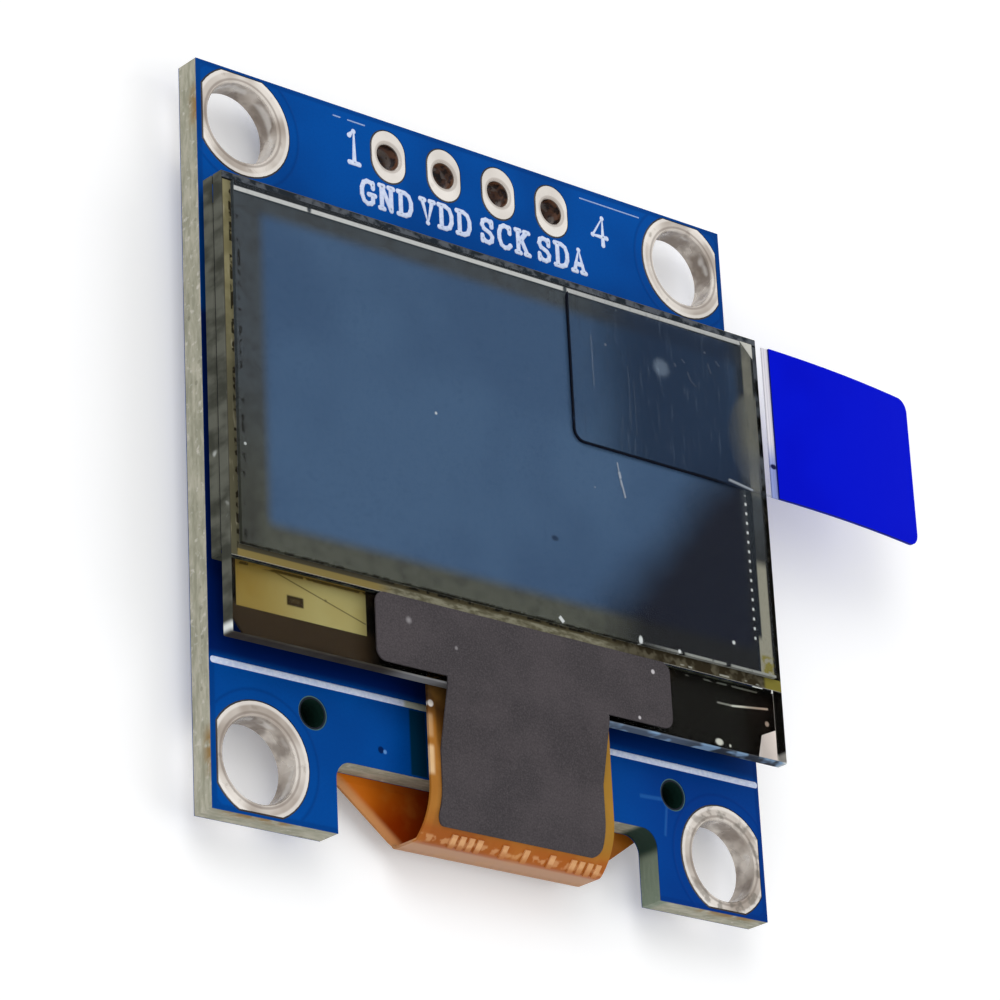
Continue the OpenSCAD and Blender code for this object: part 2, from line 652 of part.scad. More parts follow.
module regulator_leads()
    color([0.78, 0.78, 0.77]) on_rear([regulator_at.x, regulator_at.y, 0]) {
        for (s = [-1, 1]) translate([s*reg_pitch, 0, 0]) mirror([0, 1, 0]) lead();
        lead();
    }

module lead() {
    top = reg_h/2;
    knee = reg_w/2 + 1.6*lead_t;
    across([[reg_w/2, top], [knee, top], [knee + lead_t, lead_t], [knee + lead_t + lead_foot, lead_t],
            [knee + lead_t + lead_foot, 0], [knee, 0], [knee - lead_t, top - lead_t], [reg_w/2, top - lead_t]],
           -lead_w/2, lead_w/2);
}

board_laminate();
front_solder_mask();
rear_solder_mask();
mounting_hole_plating();
header_hole_plating();
flex_solder_pads();
mounting_foam();
cap_glass();
desiccant_sheet();
glass_seal();
front_glass();
emitter_stack();
cathode_layer();
polariser();
protective_film();
pull_tape();
pull_grip();
ledge_metal_film();
driver_chip();
ledge_coating();
flex_tail();
flex_ridges();
cover_tape();
solder_joints();
part_pads();
resistor_bodies();
resistor_ends();
capacitor_bodies();
capacitor_ends();
part_solder();
regulator_body();
regulator_leads();
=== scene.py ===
import bpy
import bmesh
import math
from mathutils import Matrix, Vector


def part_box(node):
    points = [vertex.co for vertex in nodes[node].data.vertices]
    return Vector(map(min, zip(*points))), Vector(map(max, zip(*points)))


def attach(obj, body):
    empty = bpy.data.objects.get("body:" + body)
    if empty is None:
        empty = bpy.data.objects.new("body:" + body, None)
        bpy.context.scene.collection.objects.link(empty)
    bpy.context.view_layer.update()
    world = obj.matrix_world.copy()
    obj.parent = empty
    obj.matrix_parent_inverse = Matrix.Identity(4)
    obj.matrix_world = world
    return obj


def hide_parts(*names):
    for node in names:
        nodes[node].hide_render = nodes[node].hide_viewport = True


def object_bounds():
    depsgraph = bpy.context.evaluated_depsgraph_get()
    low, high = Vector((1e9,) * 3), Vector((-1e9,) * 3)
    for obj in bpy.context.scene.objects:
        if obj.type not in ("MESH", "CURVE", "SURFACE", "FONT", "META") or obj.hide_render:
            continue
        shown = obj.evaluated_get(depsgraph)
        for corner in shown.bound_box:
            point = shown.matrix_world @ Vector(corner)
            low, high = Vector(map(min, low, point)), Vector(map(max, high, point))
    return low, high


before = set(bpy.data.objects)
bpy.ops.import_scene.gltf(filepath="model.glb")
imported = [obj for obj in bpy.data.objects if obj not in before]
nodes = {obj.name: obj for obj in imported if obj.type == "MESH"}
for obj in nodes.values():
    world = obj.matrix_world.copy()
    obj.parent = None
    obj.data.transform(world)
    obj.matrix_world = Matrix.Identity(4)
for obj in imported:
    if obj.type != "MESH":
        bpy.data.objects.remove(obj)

cadBox = [list(corner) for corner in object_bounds()]
mm = 0.001


def tone(r, g, b):  # a screen colour, 0 to 255, as the shader wants it
    return tuple(c / 3294.6 if c <= 10.3 else ((c / 255 + 0.055) / 1.055) ** 2.4 for c in (r, g,
                                                                                           b)) + (1.0,)


def box(node):  # a node's low and high corner in millimetres
    lo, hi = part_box(node)
    return [v / mm for v in lo], [v / mm for v in hi]


# node helpers: every pattern is worked out in millimetres on object coordinates
class Shader:
    def __init__(self, name, **fixed):
        self.mat = bpy.data.materials.new(name)
        self.mat.use_nodes = True
        self.tree = self.mat.node_tree
        self.tree.nodes.clear()
        out = self.tree.nodes.new("ShaderNodeOutputMaterial")
        self.skin = self.tree.nodes.new("ShaderNodeBsdfPrincipled")
        self.tree.links.new(self.skin.outputs[0], out.inputs[0])
        coords = self.tree.nodes.new("ShaderNodeTexCoord").outputs["Object"]
        self.place = self.node("VectorMath", {0: coords, "Scale": 1 / mm}, operation="SCALE").outputs[0]
        split = self.node("SeparateXYZ", {0: self.place})
        self.x, self.y, self.z = split.outputs[0], split.outputs[1], split.outputs[2]
        for key, value in fixed.items():
            self.put(key, value)

    def node(self, kind, sockets=None, **settings):
        n = self.tree.nodes.new("ShaderNode" + kind)
        for key, value in settings.items():
            setattr(n, key, value)
        for key, value in (sockets or {}).items():
            self.feed(n.inputs[key], value)
        return n

    def feed(self, socket, value):
        if isinstance(value, bpy.types.NodeSocket):
            self.tree.links.new(value, socket)
        else:
            socket.default_value = value

    def put(self, key, value):
        names = dict(colour="Base Color", rough="Roughness", metal="Metallic", clear="Transmission Weight",
                     ior="IOR", alpha="Alpha", normal="Normal", gloss="Specular IOR Level")
        self.feed(self.skin.inputs[names[key]], value)

    def calc(self, op, a, b=0.0, clamp=False):
        return self.node("Math", {0: a, 1: b}, operation=op, use_clamp=clamp).outputs[0]

    def rest(self, value):  # what is left of 1
        return self.calc("SUBTRACT", 1.0, value)

    def ease(self, value, lo, hi, low=0.0, high=1.0):  # smooth step from low at lo to high at hi
        flip = lo > hi
        if flip:
            lo, hi, low, high = hi, lo, high, low
        return self.node("MapRange", {0: value, 1: lo, 2: hi, 3: low, 4: high},
                         interpolation_type="SMOOTHSTEP").outputs[0]

    def band(self, value, lo, hi, soft):  # 1 between lo and hi
        return self.calc("MULTIPLY", self.ease(value, lo - soft, lo + soft),
                         self.ease(value, hi + soft, hi - soft))

    def patch(self, x0, x1, y0, y1, soft):
        return self.calc("MULTIPLY", self.band(self.x, x0, x1, soft), self.band(self.y, y0, y1, soft))

    def times(self, *values):
        total = values[0]
        for v in values[1:]:
            total = self.calc("MULTIPLY", total, v)
        return total

    def most(self, *values):
        total = values[0]
        for v in values[1:]:
            total = self.calc("MAXIMUM", total, v)
        return total

    def noise(self, scale, detail=2.0, rough=0.5, stretch=(1, 1, 1)):
        at = self.node("Mapping", {"Vector": self.place, "Scale": stretch}).outputs[0]
        return self.node("TexNoise",
                         {"Vector": at, "Scale": scale, "Detail": detail, "Roughness": rough}).outputs[0]

    def specks(self, scale, size, soft=0.04, stretch=(1, 1, 1)):  # small dots, denser where scale is larger
        at = self.node("Mapping", {"Vector": self.place, "Scale": stretch}).outputs[0]
        far = self.node("TexVoronoi", {"Vector": at, "Scale": scale, "Randomness": 1.0}).outputs["Distance"]
        return self.ease(far, size + soft, size)

    def mix(self, amount, a, b):
        n = self.node("Mix", data_type="RGBA")
        self.feed(n.inputs[0], amount)
        self.feed(n.inputs[6], a)
        self.feed(n.inputs[7], b)
        return n.outputs[2]

    def dot(self, cx, cy, radius, soft=0.03, sx=1.0, sy=1.0):  # 1 inside an ellipse
        dx = self.calc("MULTIPLY", self.calc("SUBTRACT", self.x, cx), 1 / sx)
        dy = self.calc("MULTIPLY", self.calc("SUBTRACT", self.y, cy), 1 / sy)
        far = self.calc("SQRT",
                        self.calc("ADD", self.calc("MULTIPLY", dx, dx), self.calc("MULTIPLY", dy, dy)))
        return self.ease(far, radius + soft, radius - soft)

    def stroke(self, x0, y0, x1, y1, half, soft=0.02):  # 1 along a straight line
        dx, dy = x1 - x0, y1 - y0
        size = math.hypot(dx, dy)
        ux, uy = dx / size, dy / size
        px, py = self.calc("SUBTRACT", self.x, x0), self.calc("SUBTRACT", self.y, y0)
        on = self.calc("ADD", self.calc("MULTIPLY", px, ux), self.calc("MULTIPLY", py, uy))
        off = self.calc("ABSOLUTE",
                        self.calc("SUBTRACT", self.calc("MULTIPLY", px, uy), self.calc("MULTIPLY", py, ux)))
        return self.calc("MULTIPLY", self.band(on, 0, size, soft), self.ease(off, half + soft, half - soft))

    def spots(self, rows):  # rows of x, y, radius and, if wanted, softness and the ellipse's two stretches
        return self.most(*[self.dot(*row) for row in rows])

    def discs(self, centres, radius, soft=0.03):
        return self.spots([(x, y, radius, soft) for x, y in centres])

    def rings(self, centres, outer, inner, soft=0.03):
        return self.calc("SUBTRACT", self.discs(centres, outer, soft), self.discs(centres, inner, soft),
                         True)

    def strokes(self, rows):  # rows of x, y, x, y, half width and, if wanted, softness
        return self.most(*[self.stroke(*row) for row in rows])

    def facing(self):  # how squarely the face looks up or down
        n = self.node("NewGeometry").outputs["Normal"]
        return self.calc("ABSOLUTE", self.node("SeparateXYZ", {0: n}).outputs[2])

    def upward(self):  # 1 on faces that look up, 0 on faces that look down
        n = self.node("NewGeometry").outputs["Normal"]
        return self.ease(self.node("SeparateXYZ", {0: n}).outputs[2], -0.2, 0.2)

    def bump(self, height, depth, before=None):  # depth in millimetres
        sockets = {"Height": height, "Distance": depth * mm, "Strength": 1.0}
        if before is not None:
            sockets["Normal"] = before
        return self.node("Bump", sockets).outputs[0]


def dress(shader, *names):
    for name in names:
        mesh = nodes[name].data
        mesh.materials.clear()
        mesh.materials.append(shader.mat)


# board: laminate, lacquer and plated holes
board = dict(laminate=tone(186, 182, 164), laminateDark=tone(150, 149, 130), dust=tone(200, 196, 184),
             pit=tone(104, 104, 86), wallGreen=tone(112, 130, 112), shade=tone(14, 44, 36),
             amber=tone(140, 104, 36),
             locatorRim=tone(96, 136, 136), gapShade=tone(30, 28, 44),
             mask=tone(0, 66, 142), maskLight=tone(0, 76, 158), maskDeep=tone(0, 42, 104), maskRough=0.38,
             maskShadeUnderPanel=tone(2, 22, 84), maskCorner=tone(0, 38, 118), flexEdgeShade=tone(2, 44, 62),
             via=tone(0, 16, 62),
             glint=tone(110, 165, 225), trace=tone(60, 130, 200),
             land=tone(232, 224, 214), landShade=tone(168, 156, 144), landStain=tone(128, 116, 104),
             landRough=0.26,
             chamferShade=tone(120, 106, 96), landBright=tone(244, 238, 230), boreRimShade=tone(150, 136, 126),
             wallDark=tone(116, 102, 92), wallBright=tone(240, 236, 230), grubby=tone(104, 98, 88),
             holeBrown=tone(128, 88, 64), holeDark=tone(40, 22, 14), holeGlint=tone(168, 156, 146),
             mounts=[(x, y) for x in (-10.25, 10.25) for y in (-11.55, 11.55)],
             header=[(x, 12.1) for x in (-3.81, -1.27, 1.27, 3.81)], locators=[(-8, -9.5), (8, -9.5)],
             stains=[(-12.2, 11.7), (-12.2, -11.5), (12.2, 11.2), (12.2, -11.6)],
             flexEdgeShadePatch=(-3.9, -3.2, -10.9, -8.58),
             vias=[(-5.17, -10.26, 0.12), (7.55, 8.95, 0.12), (9.9, 8.75, 0.1), (-1.9, 9.0, 0.09)],
             glints=[(-5.0, -10.3, 0.07), (7.72, 8.95, 0.08), (6.9, 9.2, 0.04, 0.03, 1, 3)],
             traces=[(6.4, -9.8, 7.5, -9.75, 0.07, 0.05), (7.5, -9.75, 7.65, -10.0, 0.06, 0.05),
                     (7.65, -10.0, 7.5, -11.1, 0.05, 0.05)])


def laminateSkin():
    s = Shader("laminate", rough=0.75, gloss=0.2)
    weave = s.noise(1.1, 3, 0.6, (1.0, 1.0, 3.5))
    plies = s.calc("SINE", s.calc("ADD", s.calc("MULTIPLY", s.z, 26.0),
                                  s.calc("MULTIPLY", s.noise(0.8), 5.0)))
    amount = s.calc("ADD", s.calc("MULTIPLY", plies, 0.08), s.ease(weave, 0.3, 0.75), True)
    colour = s.mix(amount, board["laminateDark"], board["laminate"])
    colour = s.mix(s.ease(s.noise(4.0, 3), 0.56, 0.76), colour, board["dust"])
    colour = s.mix(s.times(s.specks(1.3, 0.09), 0.4), colour, board["pit"])
    # greener where the router cut the notch's right leg, shaded at the top of that wall
    leg = s.times(s.band(s.y, -13.6, -10.6, 0.2), s.band(s.x, 6.3, 7.5, 0.25))
    colour = s.mix(s.calc("MULTIPLY", leg, 0.85), colour, board["wallGreen"])
    colour = s.mix(s.times(leg, s.ease(s.y, -11.9, -11.5), 0.92), colour, board["shade"])
    # amber resin where the mounting lands come close to an edge
    stain = s.discs(board["stains"], 0.7, 0.4)
    ends = s.most(s.band(s.x, -11.6, -9.0, 0.4), s.band(s.x, 9.0, 11.6, 0.4))
    low = s.times(s.ease(s.y, -13.2, -13.45), ends)
    grade = s.ease(s.z, 0.4, 0.95)
    resin = s.times(s.most(stain, low), grade, s.ease(s.noise(2.4), 0.3, 0.55), 0.85)
    colour = s.mix(resin, colour, board["amber"])
    # the two locating holes: dark green walls with a teal rim
    holes = s.discs(board["locators"], 0.72)
    rim = s.times(holes, s.rest(s.discs(board["locators"], 0.56, 0.01)))
    colour = s.mix(holes, colour, board["shade"])
    colour = s.mix(s.times(rim, 0.7), colour, board["locatorRim"])
    # painted shade on the laminate's top face where the mask leaves it bare, in the gaps round the lands
    faceUp = s.times(s.ease(s.z, 0.96, 0.97), s.facing())
    s.put("colour", s.mix(s.times(faceUp, s.rest(rim), 0.85), colour, board["gapShade"]))
    s.put("normal", s.bump(s.calc("ADD", weave, s.calc("MULTIPLY", plies, 0.15)), 0.02))
    return s


def maskSkin():
    s = Shader("solderMask", rough=board["maskRough"], gloss=0.03)
    cloud = s.noise(0.22, 2)
    colour = s.mix(s.ease(cloud, 0.35, 0.65), board["mask"], board["maskLight"])
    colour = s.mix(s.ease(s.noise(11.0, 2), 0.4, 0.7, 0.0, 0.10), colour, board["maskDeep"])
    # thicker lacquer runs round the lands and along the rim of the board
    rings = s.rings(board["mounts"], 2.45, 2.36, 0.06)
    rim = s.rest(s.patch(-12.0, 12.0, -13.32, 13.32, 0.05))
    colour = s.mix(s.times(s.most(rings, rim), 0.38), colour, board["maskDeep"])
    # painted shade under the panel's lower edge, and deeper blue in the lower right corner
    below = s.times(s.band(s.y, -8.2, 4.0, 0.2), s.ease(s.x, 11.0, -2.0, 0.75, 1.0))
    colour = s.mix(s.times(below, s.ease(s.z, 0.5, 0.6), 0.9), colour, board["maskShadeUnderPanel"])
    corner = s.times(s.ease(s.x, 3.0, 9.0), s.ease(s.y, -8.0, -8.6), 0.55)
    colour = s.mix(corner, colour, board["maskCorner"])
    # painted shade under the tail's raised left edge, the vias with painted glints, and one buried trace
    colour = s.mix(s.times(s.patch(*board["flexEdgeShadePatch"], 0.05), 0.92), colour, board["flexEdgeShade"])
    vias = s.spots(board["vias"])
    colour = s.mix(s.times(vias, 0.85), colour, board["via"])
    colour = s.mix(s.times(s.spots(board["glints"]), 0.7), colour, board["glint"])
    trace = s.strokes(board["traces"])
    s.put("colour", s.mix(s.times(trace, 0.25), colour, board["trace"]))
    relief = s.calc("ADD", s.calc("MULTIPLY", rings, 0.5), s.calc("MULTIPLY", cloud, 0.25))
    relief = s.calc("ADD", s.calc("SUBTRACT", relief, vias), trace)
    s.put("normal", s.bump(relief, 0.015))
    return s


def landSkin():
    s = Shader("tinnedLand", metal=0.55, gloss=0.4)
    cloud = s.noise(0.6, 2, 0.5)
    colour = s.mix(s.ease(cloud, 0.3, 0.7), board["landShade"], board["land"])
    colour = s.mix(s.ease(s.noise(2.2, 3), 0.6, 0.75, 0.0, 0.5), colour, board["landStain"])
    # a dark line of painted shade round each mounting hole's rim, and a painted highlight on the outer rim,
    # in a lighter tin that also covers the other pads
    face = s.ease(s.facing(), 0.5, 0.9)
    colour = s.mix(s.times(s.rings(board["mounts"], 1.66, 1.57), face, 0.55), colour, board["chamferShade"])
    bright = s.rest(s.discs(board["mounts"], 1.87, 0.04))
    colour = s.mix(s.times(bright, face, 0.6), colour, board["landBright"])
    # painted shade: the header bores are dark brown inside, with a painted glint on their walls
    bores = s.discs(board["header"], 0.51, 0.01)
    boreInside = s.times(bores, s.ease(s.z, 1.0, 0.9))
    dark = s.mix(s.ease(s.noise(3.0, 3), 0.4, 0.62), board["holeDark"], board["holeBrown"])
    boreGlint = s.times(s.band(s.z, 0.25, 0.55, 0.08), s.ease(s.noise(2.2, 2), 0.5, 0.58))
    dark = s.mix(s.times(boreGlint, 0.8), dark, board["holeGlint"])
    # painted shade round the rim of each header bore
    boreRimShade = s.times(s.calc("SUBTRACT", s.discs(board["header"], 0.62), bores, True), face)
    colour = s.mix(s.times(boreRimShade, 0.5), colour, board["boreRimShade"])
    # painted reflections: dark and light patches on the plated walls of the mounting holes
    wall = s.times(s.rest(face), s.ease(s.z, 0.95, 0.85))
    colour = s.mix(s.times(wall, s.ease(s.noise(0.9, 3), 0.42, 0.6), 0.7), colour, board["wallDark"])
    gleam = s.times(wall, s.band(s.z, 0.5, 0.8, 0.1), s.ease(s.noise(1.1, 2), 0.5, 0.6), 0.6)
    colour = s.mix(gleam, colour, board["wallBright"])
    grubby = s.times(s.ease(s.x, 8.0, 9.5), s.ease(s.y, -9.0, -9.8), s.ease(s.noise(2.0, 3), 0.5, 0.62))
    colour = s.mix(s.times(grubby, face, 0.6), colour, board["grubby"])
    s.put("colour", s.mix(boreInside, colour, dark))
    s.put("metal", s.calc("MULTIPLY", s.rest(boreInside), 0.55))
    s.put("rough", s.calc("ADD", board["landRough"] - 0.08, s.calc("MULTIPLY", cloud, 0.16)))
    s.put("normal", s.bump(s.noise(9.0, 2), 0.002, s.bump(s.noise(1.6, 2), 0.03)))
    return s


print("board")
dress(laminateSkin(), "board_laminate")
dress(maskSkin(), "front_solder_mask", "rear_solder_mask")
dress(landSkin(), "mounting_hole_plating", "header_hole_plating", "part_pads")

# glass panel and what lies between its glasses
panel = dict(clear=(0.90, 0.93, 0.91, 1.0), edge=tone(96, 97, 88), edgeDark=tone(62, 63, 56),
             chip=tone(222, 226, 222),
             lit=tone(63, 89, 119), litDeep=tone(55, 80, 110), shade=tone(9, 13, 28),
             borderTop=tone(62, 68, 72),
             border=tone(76, 78, 68), borderDark=tone(20, 20, 20), line=tone(190, 191, 188),
             olive=tone(148, 140, 94),
             oliveLight=tone(140, 138, 122), gold=tone(164, 150, 98), goldDeep=tone(132, 106, 46),
             coating=tone(18, 16, 13), coatingBrown=tone(52, 40, 28),
             scratches=[(4.8, 1.85, 4.95, 0.95, 0.016), (4.93, 1.2, 5.1, 0.55, 0.025),
                        (4.86, 1.5, 4.92, 1.25, 0.045), (8.55, 6.3, 8.7, 5.95, 0.025),
                        (8.7, 5.95, 8.95, 5.8, 0.02), (8.3, 6.75, 8.45, 6.6, 0.025),
                        (9.6, 6.9, 9.75, 6.5, 0.025), (7.9, 6.5, 8.0, 6.35, 0.03),
                        (10.0, 7.1, 10.2, 6.9, 0.03)],
             hairLines=[(3.9, 6.6, 4.6), (5.6, 5.8, 3.4), (5.85, 5.3, 3.1), (7.0, 5.2, 3.4),
                        (8.35, 3.6, 2.5)])


def glassSkin(name, margins=False):
    s = Shader(name, ior=1.05)
    flat = s.ease(s.facing(), 0.8, 0.97)
    rim = s.rest(flat)
    grey = s.mix(s.ease(s.noise(1.4, 3, 0.5, (1, 1, 0.5)), 0.35, 0.65), panel["edgeDark"], panel["edge"])
    grey = s.mix(s.ease(s.x, 10.0, 12.0), grey, tone(24, 24, 22))
    low = s.ease(s.y, -7.9, -7.99)
    grey = s.mix(s.times(low, 0.8), grey,
                 s.mix(s.ease(s.x, -6.0, -4.8), tone(52, 45, 42), tone(136, 136, 138)))
    grey = s.mix(s.times(low, s.ease(s.x, 2.0, 4.0)), grey,
                 s.mix(s.ease(s.x, 7.0, 9.0), tone(92, 104, 120), tone(52, 58, 68)))
    grey = s.mix(s.times(low, s.ease(s.x, 3.0, 5.0), s.ease(s.noise(1.2, 2), 0.5, 0.62), 0.85), grey,
                 tone(140, 172, 204))
    blobs = s.most(s.dot(-12.35, -7.75, 0.14, 0.12), s.dot(12.35, -7.8, 0.25, 0.1),
                   s.times(s.specks(0.75, 0.16, 0.08, (1, 1, 1.6)), s.ease(s.noise(0.7), 0.54, 0.64),
                           s.ease(s.x, -12.2, -12.34)))
    warm = s.times(s.ease(s.x, 10.6, 11.2), s.ease(s.y, -5.2, -5.5))
    tint = s.mix(s.ease(s.calc("ADD", s.x, s.calc("MULTIPLY", s.y, 0.5)), 8.6, 7.9), tone(232, 220, 212),
                 tone(196, 186, 178))
    clear = s.mix(warm, panel["clear"], tint)
    colour = s.mix(flat, s.mix(blobs, grey, panel["chip"]), clear)
    paint = 0.0
    if margins:  # what shows through the glass round the polariser is painted on its top face
        lo, hi = box("polariser")
        top = s.times(s.ease(s.z, hi[2] - 0.18, hi[2] - 0.16), s.facing())
        ragged = s.ease(s.noise(3.2, 2), 0.44, 0.54)
        olive = s.mix(s.ease(s.noise(1.3, 3), 0.4, 0.65), tone(112, 106, 76), tone(132, 126, 94))
        olive = s.mix(s.ease(s.y, 5.0, 0.0, 0.0, 0.85), olive, tone(74, 72, 58))
        olive = s.mix(s.ease(s.noise(2.0, 2, 0.5, (2, 0.4, 1)), 0.58, 0.74, 0.0, 0.45), olive,
                      tone(176, 170, 146))
        olive = s.mix(s.ease(s.x, -12.27, -12.31), olive, tone(62, 60, 54))
        olive = s.mix(s.times(s.ease(s.x, -12.07, -12.05), ragged, 0.9), olive, tone(26, 22, 16))
        over = s.mix(s.ease(s.noise(3.0, 3), 0.4, 0.6), tone(38, 44, 50), tone(88, 92, 98))
        over = s.mix(s.ease(s.y, 8.36, 8.31), over, tone(20, 20, 20))
        over = s.mix(s.ease(s.y, 8.53, 8.57), over, tone(26, 26, 26))
        edge = s.mix(s.ease(s.noise(2.0), 0.55, 0.62), tone(9, 8, 5), tone(34, 32, 26))
        edge = s.mix(s.times(s.ease(s.y, 2.1, 2.6), s.ease(s.noise(1.5, 2), 0.35, 0.6)), edge,
                     tone(84, 88, 92))
        dull = s.mix(s.ease(s.y, -5.0, -5.06), tone(72, 68, 54), tone(126, 111, 66))
        fair = s.mix(s.ease(s.noise(2.6, 3, 0.6, (1, 2.5, 1)), 0.35, 0.65), tone(90, 86, 68),
                     tone(128, 125, 106))
        fair = s.mix(s.ease(s.y, -5.06, -4.98), fair, tone(72, 66, 48))
        fair = s.mix(s.times(s.ease(s.y, -4.97, -4.93), ragged), fair, tone(34, 32, 26))
        brown = s.mix(s.ease(s.noise(2.4, 2), 0.45, 0.65), tone(46, 40, 28), tone(84, 79, 64))
        dashes = s.times(s.band(s.y, -5.24, -5.17, 0.02), s.ease(s.noise(1.6, 1), 0.5, 0.55),
                         s.ease(s.x, 6.6, 7.2))
        brown = s.mix(s.times(dashes, 0.8), brown, tone(160, 160, 148))
        under = s.mix(s.ease(s.x, 3.6, 5.2), s.mix(s.ease(s.x, -5.4, -6.4), fair, dull), brown)
        under = s.mix(s.ease(s.x, 11.4, 11.6), under, tone(120, 112, 50))
        margin = s.mix(s.ease(s.x, 11.9, 11.94), olive, edge)
        margin = s.mix(s.times(s.ease(s.y, lo[1], lo[1] - 0.03), s.ease(s.x, -12.08, -12.0)), margin, under)
        margin = s.mix(s.ease(s.y, hi[1], hi[1] + 0.02), margin, over)
        frameArea = s.rest(s.patch(lo[0], hi[0], lo[1], hi[1], 0.005))
        paint = s.times(top, frameArea, s.ease(s.y, -5.31, -5.27))
        colour = s.mix(paint, colour, margin)
    s.put("colour", colour)
    s.put("clear", s.times(flat, s.rest(paint)))
    s.put("rough", s.calc("MULTIPLY", s.most(rim, paint), 0.35))
    return s


